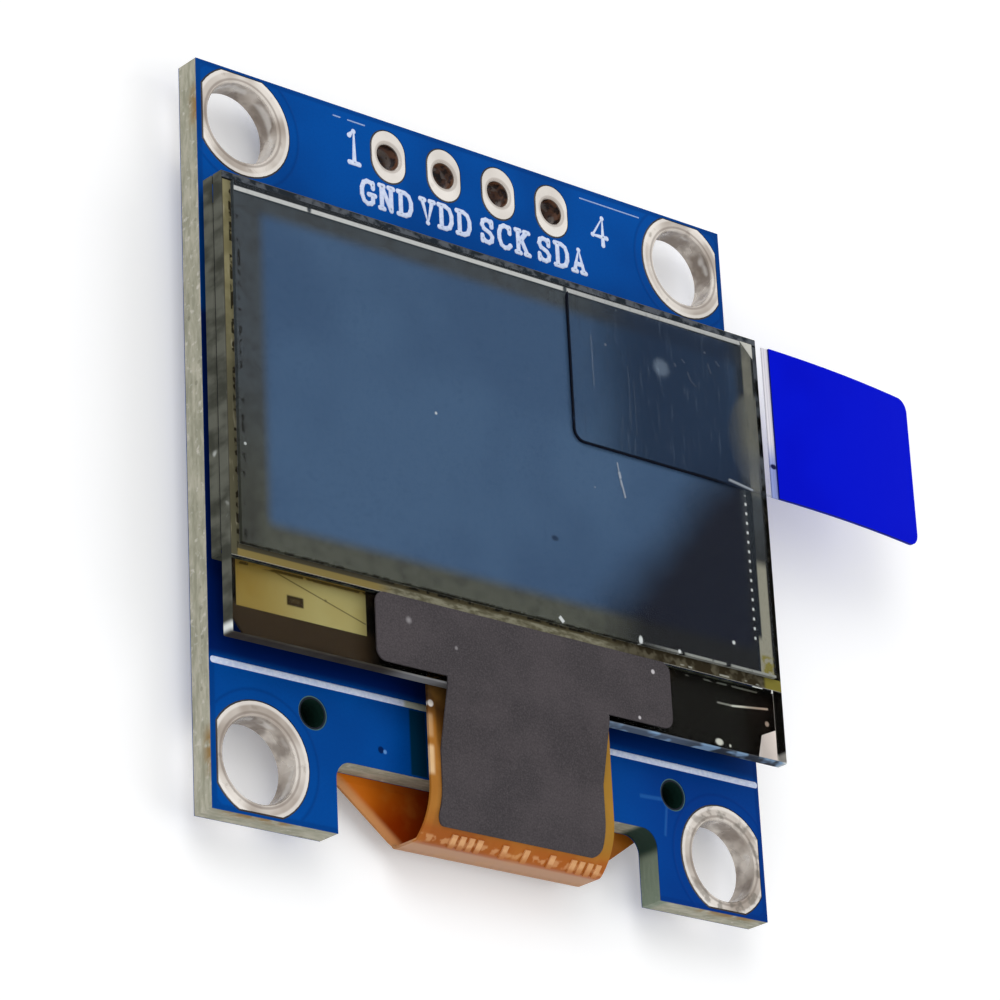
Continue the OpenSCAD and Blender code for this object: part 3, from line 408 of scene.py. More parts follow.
def polariserSkin():
    s = Shader("polariser", rough=0.3, gloss=0.03)
    # the lit field, with a slanting shade over its lower right corner
    lit = s.patch(-10.8, 10.95, -3.95, 7.25, 0.3)
    field = s.mix(s.ease(s.noise(0.16, 2), 0.38, 0.62), panel["lit"], panel["litDeep"])
    slant = s.calc("SUBTRACT", s.calc("MULTIPLY", s.x, 0.746), s.calc("MULTIPLY", s.y, 0.666))
    slant = s.calc("ADD", slant, s.calc("MULTIPLY", s.noise(0.4, 1), 0.8))
    shade = s.ease(slant, 4.7, 7.3)
    field = s.mix(shade, field, panel["shade"])
    # the border round it: grey at the top, olive below, darker towards the upper right and near black under
    # the painted shade at the lower right
    edge = s.mix(s.ease(s.y, 2.0, -4.2), panel["borderTop"], panel["border"])
    edge = s.mix(s.ease(s.noise(1.6, 3), 0.42, 0.66, 0.0, 0.35), edge, tone(44, 44, 40))
    edge = s.mix(s.times(s.ease(s.x, -10.6, -11.6), s.ease(s.y, 4.0, -5.0), 0.6), edge, tone(42, 42, 36))
    edge = s.mix(s.times(s.ease(s.x, 3.0, 6.0), s.ease(s.y, 2.5, -2.0)), edge, panel["borderDark"])
    edge = s.mix(s.times(s.ease(s.x, 5.0, 11.0), s.ease(s.y, 3.0, 7.0), 0.55), edge, tone(34, 36, 34))
    colour = s.mix(lit, edge, field)
    # right margin: an olive glue strip, then the dark rim of the glass
    strip = s.times(s.band(s.x, 11.38, 11.84, 0.04),
                    s.most(s.ease(s.y, -0.3, -0.8),
                           s.times(s.ease(s.y, 1.9, 2.6), s.ease(s.noise(0.9, 3), 0.3, 0.7, 0.3, 0.75))))
    rightEdge = s.times(s.band(s.x, 11.1, 11.4, 0.03), s.ease(s.y, 7.4, 7.0))
    colour = s.mix(s.times(rightEdge, s.ease(s.y, 2.4, 2.1, 0.5, 0.8)), colour, tone(14, 20, 28))
    wide = s.times(s.band(s.x, 11.22, 11.5, 0.03), s.ease(s.y, -3.3, -3.6))
    colour = s.mix(wide, colour, panel["oliveLight"])
    colour = s.mix(strip, colour, panel["oliveLight"])
    foot = s.times(s.patch(11.3, 11.95, -4.9, -4.1, 0.08), s.ease(s.noise(3.0), 0.35, 0.55))
    colour = s.mix(foot, colour, tone(120, 112, 50))
    colour = s.mix(s.times(s.ease(s.x, 11.84, 11.9), 0.9), colour, tone(18, 16, 12))
    bulge = s.times(s.dot(11.8, 4.25, 1.34, 0.14, 1.0, 1.4), s.ease(s.y, 2.2, 4.0, 0.65, 1.0))
    colour = s.mix(s.times(bulge, 0.92), colour,
                   s.mix(s.ease(s.y, 3.0, 4.4), tone(88, 92, 96), tone(104, 104, 94)))
    # a painted highlight along the film's top edge, leaning a little, broken twice
    middle = s.calc("ADD", s.calc("MULTIPLY", s.x, 0.0082), 8.08)
    rise = s.calc("SUBTRACT", s.y, middle)
    breaks = s.most(s.dot(-8.73, 8.05, 0.09, 0.05, 1, 2), s.dot(2.8, 8.1, 0.09, 0.05, 1, 2))
    ends = s.band(s.x, -11.93, 11.35, 0.02)
    line = s.times(s.band(rise, -0.095, 0.065, 0.018), ends, s.rest(breaks))
    colour = s.mix(s.times(s.band(rise, 0.06, 0.3, 0.02), ends, 0.85), colour, tone(22, 24, 26))
    colour = s.mix(s.times(s.band(rise, -0.17, -0.1, 0.03), ends, 0.7), colour, tone(24, 34, 38))
    colour = s.mix(line, colour, panel["line"])
    corner = s.ease(s.calc("ADD", s.x, s.y), 19.58, 19.62)
    colour = s.mix(corner, colour, tone(196, 195, 186))
    # dark nicks along the bottom edge, and a painted highlight along its right part
    foam = s.noise(2.4, 2, 0.5, (1, 0.3, 1))
    nicks = s.times(s.ease(s.y, -4.72, -4.78), s.ease(foam, 0.44, 0.5))
    colour = s.mix(s.times(nicks, s.ease(s.x, 5.2, 4.0), s.ease(s.y, -4.79, -4.83), 0.7), colour,
                   tone(30, 28, 22))
    colour = s.mix(s.times(s.ease(s.y, -4.74, -4.78), s.ease(s.x, 5.0, 8.0), s.ease(foam, 0.3, 0.42)),
                   colour, tone(140, 142, 136))
    # rows of glue dots, dust and two scratches
    beads = s.calc("FRACT", s.calc("MULTIPLY", s.y, 2.7))
    beads = s.times(s.band(beads, 0.36, 0.64, 0.08), s.band(s.x, 11.0, 11.09, 0.02),
                    s.band(s.y, -3.8, 2.0, 0.05))
    ragged = s.times(s.band(s.x, -11.86, -11.74, 0.03), s.ease(s.noise(3.2, 2), 0.52, 0.6))
    colour = s.mix(s.times(ragged, 0.85), colour, tone(26, 22, 16))
    dust = s.times(s.specks(0.8, 0.035, 0.02), s.ease(s.noise(0.5, 1), 0.5, 0.62))
    chips = s.most(s.stroke(1.68, -4.62, 1.86, -4.8, 0.07, 0.02), s.dot(5.43, -4.72, 0.09, 0.03, 1, 1.7),
                   s.dot(9.95, -3.9, 0.07), s.dot(7.26, -4.78, 0.07))
    colour = s.mix(s.most(beads, s.times(dust, 0.7), chips), colour, tone(206, 210, 208))
    colour = s.mix(s.times(s.dot(1.67, -1.72, 0.1, 0.05, 1.6, 1), 0.8), colour, tone(20, 36, 60))
    grain = s.noise(9.0, 3)
    colour = s.mix(s.ease(grain, 0.45, 0.75, 0.0, 0.03), colour, tone(130, 140, 150))
    colour = s.mix(s.ease(grain, 0.5, 0.25, 0.0, 0.12), colour, tone(10, 14, 20))
    s.put("colour", colour)
    s.put("rough", s.calc("ADD", 0.22, s.calc("MULTIPLY", grain, 0.14)))
    s.put("normal", s.bump(s.noise(0.5, 1), 0.01))
    return s


def filmSkin():  # clear film over the polariser, seen by its scratches
    s = Shader("clearFilm", rough=0.3, gloss=0.03)
    marks = s.strokes(panel["scratches"])
    hairs = s.strokes([(x, top, x + 0.02, low, 0.012) for x, top, low in panel["hairLines"]])
    s.put("colour", tone(170, 180, 192))
    s.put("alpha", s.calc("ADD", 0.01, s.most(s.times(marks, 0.6), s.times(hairs, 0.2))))
    return s


def sealSkin():
    s = Shader("panelSeal", rough=0.5, gloss=0.05)
    left = s.ease(s.x, -11.0, -11.5)
    colour = s.mix(s.ease(s.noise(1.3, 3), 0.4, 0.65), tone(126, 118, 74), panel["olive"])
    colour = s.mix(s.ease(s.y, 7.0, -4.0, 0.0, 0.55), colour, tone(84, 78, 56))
    colour = s.mix(s.ease(s.x, -12.17, -12.24), colour, tone(84, 76, 62))
    colour = s.mix(s.times(s.ease(s.x, -11.84, -11.78), s.ease(s.noise(4.0), 0.4, 0.5)), colour,
                   tone(30, 24, 14))
    top = s.mix(s.ease(s.noise(3.0, 3), 0.4, 0.6), tone(40, 40, 38), tone(92, 92, 90))
    low = s.mix(s.ease(s.noise(2.6, 3, 0.6, (1, 2.5, 1)), 0.35, 0.65), tone(122, 116, 88),
                tone(158, 154, 132))
    low = s.mix(s.ease(s.x, -5.6, -7.2), low, tone(112, 92, 56))
    low = s.mix(s.ease(s.x, 3.6, 5.2), low, tone(54, 48, 36))
    right = s.mix(s.ease(s.noise(2.0), 0.55, 0.62), tone(20, 18, 14), tone(64, 60, 46))
    other = s.mix(s.ease(s.y, 0.0, 1.0), low, top)
    other = s.mix(s.ease(s.x, 11.3, 11.6), other, right)
    s.put("colour", s.mix(left, other, colour))
    return s


def metalFieldSkin():
    s = Shader("goldFilm", rough=0.45, gloss=0.05)
    lo, hi = box("ledge_metal_film")
    colour = s.mix(s.ease(s.x, lo[0], lo[0] + 4.0), panel["goldDeep"], panel["gold"])
    colour = s.mix(s.ease(s.noise(0.9, 2), 0.4, 0.7, 0.0, 0.3), colour, tone(150, 130, 74))
    colour = s.mix(s.ease(s.y, hi[1] - 0.3, hi[1]), colour, tone(134, 106, 48))
    mark = s.patch(-9.72, -9.03, -6.37, -6.02, 0.04)
    inner = s.patch(-9.55, -9.18, -6.25, -6.12, 0.05)
    colour = s.mix(mark, colour, tone(46, 34, 18))
    colour = s.mix(s.calc("MULTIPLY", inner, 0.4), colour, tone(90, 74, 44))
    dashes = s.times(s.band(s.y, hi[1] - 0.14, hi[1] - 0.04, 0.02), s.ease(s.noise(1.8, 1), 0.42, 0.47))
    hair = s.most(s.stroke(-10.35, -5.28, -6.43, -6.39, 0.02), dashes, s.dot(-8.1, -5.9, 0.05))
    s.put("colour", s.mix(s.times(hair, 0.85), colour, tone(62, 48, 20)))
    return s


def coatingSkin():
    s = Shader("ledgeCoating", rough=0.4, gloss=0.03)
    brown = s.most(s.times(s.ease(s.x, -5.6, -6.6), s.ease(s.y, -6.5, -6.9)),
                   s.times(s.ease(s.x, 8.2, 5.6), s.ease(s.y, -6.0, -5.3), 0.8))
    colour = s.mix(brown, panel["coating"], panel["coatingBrown"])
    flare = s.most(s.stroke(10.2, -6.06, 12.0, -5.85, 0.035, 0.02),
                   s.times(s.stroke(9.5, -6.06, 10.3, -6.05, 0.03, 0.02), 0.4))
    spots = s.most(s.dot(11.9, -6.43, 0.09, 0.04), s.dot(9.48, -7.55, 0.12, 0.04, 1.5, 1),
                   s.dot(10.0, -7.6, 0.05))
    dashes = s.times(s.band(s.y, -5.34, -5.28, 0.02), s.ease(s.noise(1.6, 1), 0.52, 0.56),
                     s.ease(s.x, 6.4, 7.0))
    colour = s.mix(s.times(dashes, 0.7), colour, tone(150, 150, 140))
    s.put("colour", s.mix(s.most(flare, spots), colour, tone(210, 205, 196)))
    return s


def plainSkin(name, light, dark, scale, rough, metal=0.0, grain=0.02, **more):
    s = Shader(name, rough=rough, metal=metal, **more)
    cloud = s.noise(scale, 3, 0.6)
    s.put("colour", s.mix(s.ease(cloud, 0.35, 0.7), dark, light))
    s.put("normal", s.bump(cloud, grain))
    return s


def clearPiece(node, name, shader, below, above):  # clear pieces stand a hair off what they touch
    mesh = nodes[node].data.copy()
    mesh.name = name
    lo, hi = box(node)
    for v in mesh.vertices:
        if v.co.z < (lo[2] + 1e-3) * mm:
            v.co.z += below * mm
        elif v.co.z > (hi[2] - 1e-3) * mm:
            v.co.z -= above * mm
    clean = bmesh.new()
    clean.from_mesh(mesh)
    for face in clean.faces:
        face.smooth = False
    bmesh.ops.remove_doubles(clean, verts=clean.verts, dist=1e-7)
    bmesh.ops.recalc_face_normals(clean, faces=clean.faces)
    clean.to_mesh(mesh)
    clean.free()
    mesh.materials.clear()
    mesh.materials.append(shader.mat)
    piece = bpy.data.objects.new(name, mesh)
    bpy.context.scene.collection.objects.link(piece)
    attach(piece, "root")
    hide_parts(node)
    return piece


hair = 0.006  # millimetres of air round a clear piece
print("panel")
dress(glassSkin("capGlass"), "cap_glass")
clearPiece("front_glass", "frontPane", glassSkin("frontGlass", True), hair, hair)
dress(polariserSkin(), "polariser")
clearPiece("protective_film", "filmSheet", filmSkin(), hair, hair)
dress(sealSkin(), "glass_seal")
dress(metalFieldSkin(), "ledge_metal_film")
dress(coatingSkin(), "ledge_coating")
dress(plainSkin("foamTape", tone(48, 48, 50), tone(22, 22, 24), 6.0, 0.95, grain=0.06), "mounting_foam")
dress(plainSkin("dryingSheet", tone(222, 220, 208), tone(196, 194, 182), 2.0, 0.9), "desiccant_sheet")
dress(plainSkin("emitterLayers", tone(66, 92, 124), tone(52, 74, 100), 1.0, 0.3), "emitter_stack")
dress(plainSkin("electrode", tone(120, 122, 122), tone(86, 88, 88), 1.0, 0.35, 0.8), "cathode_layer")
dress(plainSkin("bareChip", tone(92, 92, 98), tone(64, 64, 70), 3.0, 0.25, grain=0.002), "driver_chip")

# pull tab: clear tape with a blue grip
tab = dict(grip=tone(0, 16, 206), gripEdge=tone(16, 26, 118), tape=tone(238, 235, 240), cut=tone(6, 9, 22))


def tapeSkin():
    s = Shader("clearTape", rough=0.3, gloss=0.03)
    lo, hi = box("pull_tape")
    edge = box("front_glass")[1][0]
    inside = s.patch(lo[0] + 0.1, 30.0, lo[1] + 0.09, 30.0, 0.02)
    corner = s.rest(s.dot(lo[0] + 0.5, lo[1] + 0.5, 0.405, 0.02))
    corner = s.times(corner, s.ease(s.x, lo[0] + 0.52, lo[0] + 0.48),
                     s.ease(s.y, lo[1] + 0.52, lo[1] + 0.48))
    line = s.most(s.rest(inside), corner)
    line = s.times(line, s.ease(s.noise(1.1, 2), 0.28, 0.36), s.ease(s.x, edge - 0.6, edge - 3.2, 0.1))
    off = s.ease(s.x, edge - 0.02, edge + 0.02)
    # painted shade: a dark blue overlay over the middle of the tape
    tapeShade = s.times(s.ease(s.x, 3.2, 7.2), s.ease(s.x, edge - 0.8, edge - 2.2), 0.42)
    tapeShade = s.times(tapeShade, s.ease(s.y, 7.97, 7.93))
    streaks = s.times(s.ease(s.noise(1.6, 3, 0.7, (6.0, 0.5, 1.0)), 0.55, 0.75), 0.14)
    patch = s.times(s.dot(7.2, 6.1, 0.32, 0.16, 1.1, 1.0), 0.32)
    gleam = s.times(s.stroke(10.2, 2.42, 11.4, 2.26, 0.05, 0.04), 0.7)
    colour = s.mix(s.calc("DIVIDE", s.calc("ADD", streaks, patch), 0.45, clamp=True), tone(40, 56, 80),
                   tone(128, 144, 162))
    colour = s.mix(line, colour, tab["cut"])
    colour = s.mix(gleam, colour, tone(190, 196, 202))
    strip = s.mix(s.ease(s.y, 4.6, 3.4), tab["tape"], tone(150, 162, 218))
    strip = s.mix(s.times(s.stroke(12.45, 8.2, 12.5, 2.2, 0.02), 0.3), strip, tone(120, 120, 150))
    strip = s.mix(s.dot(12.52, 3.45, 0.1, 0.03, 1.5, 1), strip, tone(8, 14, 70))
    strip = s.mix(s.ease(s.x, box("pull_grip")[0][0], box("pull_grip")[0][0] + 0.04), strip,
                  tone(26, 44, 196))
    s.put("colour", s.mix(off, colour, strip))
    body = s.most(s.times(line, 0.94), s.calc("ADD", tapeShade, streaks), patch, gleam)
    s.put("alpha", s.calc("MAXIMUM", body, s.calc("MULTIPLY", off, 0.88)))
    return s


def gripSkin():
    s = Shader("blueGrip", rough=0.5, gloss=0.02)
    cloud = s.noise(0.25, 2)
    colour = s.mix(s.ease(cloud, 0.35, 0.7), tab["grip"], tone(0, 12, 198))
    s.put("colour", s.mix(s.ease(s.facing(), 0.6, 0.2), colour, tab["gripEdge"]))
    s.put("normal", s.bump(cloud, 0.01))
    return s


print("pull tab")
clearPiece("pull_tape", "tapeStrip", tapeSkin(), hair, 0.0)
dress(gripSkin(), "pull_grip")

# flex tail, its ridges and the grey cover tape
flex = dict(gold=tone(158, 116, 38), orange=tone(184, 104, 30), bright=tone(232, 124, 20),
            deep=tone(142, 48, 2),
            outer=tone(184, 138, 104), rear=tone(170, 108, 38), trace=tone(132, 72, 22),
            ridge=tone(244, 192, 138), tape=tone(74, 69, 71), tapeDark=tone(66, 62, 64))


def flexSkin(name="polyimide", ridgeHighlight=0.0):
    s = Shader(name, rough=0.36, gloss=0.12)
    cloud = s.noise(0.9, 3)
    colour = s.mix(s.ease(s.z, 1.95, 1.2), flex["gold"], flex["orange"])
    flank = s.times(s.ease(s.x, -3.62, -3.45), s.ease(s.x, 0.0, -2.0), s.ease(s.y, -10.9, -8.7, 0.3, 1.0))
    colour = s.mix(s.times(s.ease(s.x, 0.0, -2.0), 0.5), colour, tone(170, 96, 38))
    colour = s.mix(s.times(flank, 0.8), colour, tone(74, 46, 20))
    # painted shadow of the glass ledge and cover tape over the top of the left band
    colour = s.mix(s.times(s.ease(s.x, 0.0, -2.0), s.ease(s.y, -9.5, -8.7), 0.75), colour, tone(58, 38, 20))
    left = s.times(s.ease(s.x, -3.6, -3.74),
                   s.most(s.band(s.y, -11.1, -10.1, 0.1), s.times(s.band(s.y, -9.8, -9.0, 0.1), 0.4)))
    colour = s.mix(s.times(left, s.ease(s.z, 0.9, 1.2), 0.8), colour, tone(232, 196, 150))
    colour = s.mix(s.dot(-3.74, -8.62, 0.12), colour, tone(236, 228, 220))
    # painted shadow under the glass ledge
    under = s.ease(s.y, -8.9, -8.2)
    colour = s.mix(s.times(under, s.ease(s.x, 0.0, -2.0), 0.85), colour, tone(34, 22, 14))
    colour = s.mix(s.ease(s.y, -12.62, -12.85, 0.0, 0.6), colour, tone(164, 84, 26))
    wall = s.times(s.ease(s.y, -12.95, -13.08), s.ease(s.z, 0.95, 0.75))
    wing = s.times(s.ease(s.z, 0.75, 0.3), s.ease(s.y, -13.1, -13.0))
    # painted shade: the wings' inside darkens from bright orange to dark red deeper into the fold
    depth = s.ease(s.calc("SUBTRACT", s.calc("ADD", s.x, s.calc("MULTIPLY", s.noise(0.5, 2), 1.5)), s.y),
                   5.6, 9.6)
    inner = s.mix(depth, flex["bright"], flex["deep"])
    # the wings' slanting edges show their pale outer side
    reach = s.calc("ABSOLUTE", s.calc("SUBTRACT", s.x, 0.2))
    slope = s.calc("SUBTRACT", s.calc("SUBTRACT", s.y, s.calc("MULTIPLY", reach, 0.7)), -15.885)
    inner = s.mix(s.ease(slope, 0.55, 0.2), inner, tone(216, 150, 96))
    colour = s.mix(wing, colour, s.mix(s.ease(s.x, 2.0, 3.0), inner, tone(150, 84, 18)))
    colour = s.mix(wall, colour, flex["outer"])
    # painted highlights along the crease of the fold
    creaseHighlight = s.times(s.band(s.y, -13.16, -12.98, 0.04), s.ease(s.z, 0.8, 0.95))
    colour = s.mix(s.times(creaseHighlight, s.ease(s.noise(3.4, 2), 0.44, 0.6), 0.45), colour, tone(236, 182, 128))
    # the tail under the board: amber film over copper tracks that fan out to the pads
    back = s.times(s.rest(s.upward()), s.ease(s.z, 0.3, 0.1), s.ease(s.y, -13.3, -13.1))
    spread = s.calc("DIVIDE", s.calc("SUBTRACT", s.x, 0.2), s.ease(s.y, -13.1, -9.6, 0.62, 1.0))
    spread = s.calc("FRACT", s.calc("ADD", s.calc("MULTIPLY", spread, 1 / 0.62), 0.5))
    tracks = s.times(s.band(spread, 0.3, 0.7, 0.08), s.ease(s.y, -8.9, -9.2, 0.35, 1.0))
    amber = s.mix(s.times(tracks, 0.6), flex["rear"], flex["trace"])
    colour = s.mix(back, colour, s.mix(s.ease(cloud, 0.35, 0.7, 0.0, 0.3), amber, tone(150, 84, 26)))
    colour = s.mix(s.ease(cloud, 0.45, 0.7, 0.0, 0.18), colour, tone(204, 146, 66))
    locator = s.times(s.discs(board["locators"], 0.62), s.upward())
    colour = s.mix(locator, colour, board["shade"])
    # painted highlight: the ridges are lighter towards their tops
    top = s.times(ridgeHighlight, s.ease(s.z, 1.08, 1.4, 0.25, 1.0))
    s.put("colour", s.mix(top, colour, flex["ridge"]))
    s.put("normal", s.bump(cloud, 0.012))
    return s


def coverSkin():
    s = Shader("coverTape", rough=0.7, gloss=0.06)
    fine = s.noise(16.0, 3, 0.7)
    cloud = s.noise(0.5, 3)
    colour = s.mix(s.ease(cloud, 0.35, 0.65), flex["tapeDark"], flex["tape"])
    colour = s.mix(s.ease(fine, 0.45, 0.75, 0.0, 0.32), colour, tone(112, 106, 108))
    colour = s.mix(s.ease(fine, 0.5, 0.3, 0.0, 0.3), colour, tone(40, 37, 40))
    dust = s.most(s.dot(5.99, -5.76, 0.08), s.dot(5.23, -7.6, 0.06),
                  s.times(s.specks(0.4, 0.035, 0.02), 0.4), s.times(s.dot(-5.0, -6.1, 0.1, 0.08), 0.4))
    s.put("colour", s.mix(dust, colour, tone(190, 186, 188)))
    s.put("normal", s.bump(s.noise(9.0, 3), 0.008, s.bump(cloud, 0.02)))
    return s


print("flex tail")
dress(flexSkin(), "flex_tail")
dress(flexSkin("ridgePolyimide", 0.55), "flex_ridges")
dress(coverSkin(), "cover_tape")
dress(plainSkin("goldPad", tone(222, 176, 96), tone(190, 140, 66), 2.0, 0.28, 1.0), "flex_solder_pads")

# rear parts
rear = dict(solder=tone(206, 206, 204), solderDark=tone(160, 160, 160), resistor=tone(30, 30, 33),
            ceramic=tone(176, 148, 112))
print("rear parts")
solderShader = plainSkin("solder", rear["solder"], rear["solderDark"], 4.0, 0.22, 1.0, 0.03)
dress(solderShader, "solder_joints", "part_solder", "regulator_leads")
dress(plainSkin("endCap", tone(212, 212, 208), tone(176, 176, 172), 3.0, 0.35, 1.0, 0.02), "resistor_ends",
      "capacitor_ends")
dress(plainSkin("resistorGlaze", tone(40, 40, 44), rear["resistor"], 5.0, 0.38), "resistor_bodies")
dress(plainSkin("capacitorCeramic", rear["ceramic"], tone(150, 122, 88), 3.0, 0.6), "capacitor_bodies")
dress(plainSkin("mouldedCase", tone(44, 44, 46), tone(28, 28, 30), 9.0, 0.6, grain=0.03), "regulator_body")

# silkscreen: strokes drawn as edges, turned into rounded ink by geometry nodes
glyphs = {
    "G": [[(.86, .74), (.86, .97)],
          [(.86, .84), (.7, .97), (.45, 1), (.2, .9), (.06, .65), (.06, .35), (.2, .1), (.45, 0), (.7, .04),
           (.84, .14), (.84, .42)], [(.56, .43), (1, .43)]],
    "N": [[(0, 1), (.3, 1)], [(.14, 1), (.14, 0)], [(0, 0), (.3, 0)], [(.16, .98), (.8, .02)],
          [(.82, 0), (.82, 1)], [(.66, 1), (1, 1)]],
    "D": [[(0, 1), (.5, 1), (.78, .9), (.93, .65), (.93, .35), (.78, .1), (.5, 0), (0, 0)],
          [(.18, 1), (.18, 0)]],
    "V": [[(0, 1), (.3, 1)], [(.12, 1), (.5, 0), (.86, 1)], [(.7, 1), (1, 1)]],
    "S": [[(.84, .74), (.84, .98)],
          [(.84, .84), (.66, .97), (.44, 1), (.2, .92), (.13, .74), (.26, .58), (.7, .45), (.87, .3),
           (.82, .1), (.6, 0), (.36, .02), (.14, .16)], [(.13, .02), (.13, .26)]],
    "C": [[(.86, .72), (.86, .97)],
          [(.86, .84), (.7, .97), (.46, 1), (.2, .89), (.07, .63), (.07, .37), (.2, .11), (.46, 0),
           (.72, .04), (.9, .17)]],
    "K": [[(0, 1), (.32, 1)], [(.16, 1), (.16, 0)], [(0, 0), (.32, 0)], [(.82, 1), (.16, .42)],
          [(.4, .62), (.84, 0)], [(.66, 1), (.98, 1)], [(.7, 0), (1, 0)]],
    "A": [[(0, 0), (.3, 0)], [(.14, 0), (.5, 1), (.86, 0)], [(.7, 0), (1, 0)], [(.28, .34), (.72, .34)]],
    "1": [[(.12, .84), (.5, 1), (.5, 0)], [(.08, 0), (.92, 0)]],
    "4": [[(.72, 0), (.72, 1), (0, .3), (1, .3)]],
}
legends = dict(ink=tone(222, 230, 248),
               words=[("GND", -3.95), ("VDD", -1.26), ("SCK", 1.50), ("SDA", 4.20)],
               wordY=10.0, letterWidth=0.62, letterHeight=0.88, letterStep=0.835, stroke=0.2,
               inkThickness=0.02,
               one=(-5.61, 11.42, 0.52, 1.25), four=(5.8, 11.4, 0.68, 1.1))


def inkTree(material):
    tree = bpy.data.node_groups.new("rounded strokes", "GeometryNodeTree")
    face = tree.interface
    face.new_socket("Geometry", in_out="INPUT", socket_type="NodeSocketGeometry")
    width = face.new_socket("Stroke Width", in_out="INPUT", socket_type="NodeSocketFloat")
    thick = face.new_socket("Ink Thickness", in_out="INPUT", socket_type="NodeSocketFloat")
    base = face.new_socket("Base Height", in_out="INPUT", socket_type="NodeSocketFloat")
    face.new_socket("Geometry", in_out="OUTPUT", socket_type="NodeSocketGeometry")

    def node(kind, sockets=None, **settings):
        n = tree.nodes.new(kind)
        for key, value in settings.items():
            setattr(n, key, value)
        for key, value in (sockets or {}).items():
            if isinstance(value, bpy.types.NodeSocket):
                tree.links.new(value, n.inputs[key])
            else:
                n.inputs[key].default_value = value
        return n

    given = node("NodeGroupInput")
    half = node("ShaderNodeMath", {0: given.outputs[1], 1: 2.0}, operation="DIVIDE").outputs[0]
    curve = node("GeometryNodeMeshToCurve", {0: given.outputs[0]}).outputs[0]
    ring = node("GeometryNodeCurvePrimitiveCircle", {"Resolution": 10, "Radius": half}).outputs[0]
    tube = node("GeometryNodeCurveToMesh",
                {"Curve": curve, "Profile Curve": ring, "Fill Caps": True}).outputs[0]
    ball = node("GeometryNodeMeshUVSphere", {"Segments": 10, "Rings": 6, "Radius": half}).outputs[0]
    balls = node("GeometryNodeInstanceOnPoints", {"Points": given.outputs[0], "Instance": ball}).outputs[0]
    joined = node("GeometryNodeJoinGeometry", {0: tube})
    tree.links.new(node("GeometryNodeRealizeInstances", {0: balls}).outputs[0], joined.inputs[0])
    # flatten the tubes to the ink's thickness over the base height
    spot = node("ShaderNodeSeparateXYZ", {0: node("GeometryNodeInputPosition").outputs[0]})
    up = node("ShaderNodeMath", {0: spot.outputs[2], 1: given.outputs[3]}, operation="SUBTRACT").outputs[0]
    ratio = node("ShaderNodeMath", {0: given.outputs[2], 1: half}, operation="DIVIDE").outputs[0]
    low = node("ShaderNodeMath", {0: up, 1: ratio}, operation="MULTIPLY").outputs[0]
    flat = node("ShaderNodeMath", {0: low, 1: given.outputs[3]}, operation="ADD").outputs[0]
    moved = node("ShaderNodeCombineXYZ", {0: spot.outputs[0], 1: spot.outputs[1], 2: flat}).outputs[0]
    shaped = node("GeometryNodeSetPosition", {"Geometry": joined.outputs[0], "Position": moved}).outputs[0]
    real = node("GeometryNodeRealizeInstances", {0: shaped}).outputs[0]
    painted = node("GeometryNodeSetMaterial", {"Geometry": real, "Material": material}).outputs[0]
    node("NodeGroupOutput", {0: painted})
    return tree, (width.identifier, thick.identifier, base.identifier)


# strokes are lists of x, y in millimetres
def drawStrokes(name, strokes, height, material, width, thickness):
    mesh = bpy.data.meshes.new(name)
    points, edges = [], []
    for line in strokes:
        edges += [(len(points) + i, len(points) + i + 1) for i in range(len(line) - 1)]
        points += [(x * mm, y * mm, height * mm) for x, y in line]
    mesh.from_pydata(points, edges, [])
    obj = bpy.data.objects.new(name, mesh)
    bpy.context.scene.collection.objects.link(obj)
    tree, (widthId, thickId, baseId) = inkTree(material)
    mod = obj.modifiers.new("strokes", "NODES")
    mod.node_group = tree
    mod[widthId], mod[thickId], mod[baseId] = width * mm, thickness * mm, height * mm
    graph = bpy.context.evaluated_depsgraph_get()
    solid = bpy.data.meshes.new_from_object(obj.evaluated_get(graph))
    obj.modifiers.clear()
    obj.data = solid
    solid.name = name
    return obj


def lettering():
    strokes = []

    def put(text, x, y, wide, tall, step):
        for i, letter in enumerate(text):
            for line in glyphs[letter]:
                strokes.append([(x + i * step + px * wide, y + py * tall) for px, py in line])
    for word, middle in legends["words"]:
        span = legends["letterStep"] * (len(word) - 1) + legends["letterWidth"]
        put(word, middle - span / 2, legends["wordY"], legends["letterWidth"], legends["letterHeight"],
            legends["letterStep"])
    for text, (x, y, wide, tall) in (("1", legends["one"]), ("4", legends["four"])):
        put(text, x, y, wide, tall, 0)
    return strokes


print("silkscreen")


def inkSkin():
    s = Shader("silkscreenInk", rough=0.6, gloss=0.2)
    cloud = s.noise(6.0, 3, 0.6)
    colour = s.mix(s.ease(cloud, 0.35, 0.7), tone(200, 212, 240), legends["ink"])
    # the long line is painted darker and yellower in the shade under the tail's edge, and the thin dashes
    # let blue through
    colour = s.mix(s.times(s.patch(-4.1, -3.0, -8.7, -8.2, 0.1), 0.85), colour, tone(176, 176, 146))
    colour = s.mix(s.times(s.ease(s.y, 12.9, 12.98), 0.6), colour, tone(96, 140, 200))
    s.put("colour", colour)
    s.put("normal", s.bump(cloud, 0.01))
    return s


inkShader = inkSkin()
maskTop = box("front_solder_mask")[1][2]
marks = [("legends", lettering(), legends["stroke"]),
         ("boardLine", [[(-12.05, -8.42), (12.05, -8.42)]], 0.24),
         ("headerDashes", [[(-6.24, 13.05), (-5.94, 13.05)], [(-5.59, 13.05), (-4.84, 13.05)],
                           [(5.25, 13.05), (8.15, 13.05)]], 0.055)]
for name, strokes, width in marks:
    piece = drawStrokes(name, strokes, maskTop, inkShader.mat, width, legends["inkThickness"])
    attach(piece, "root")

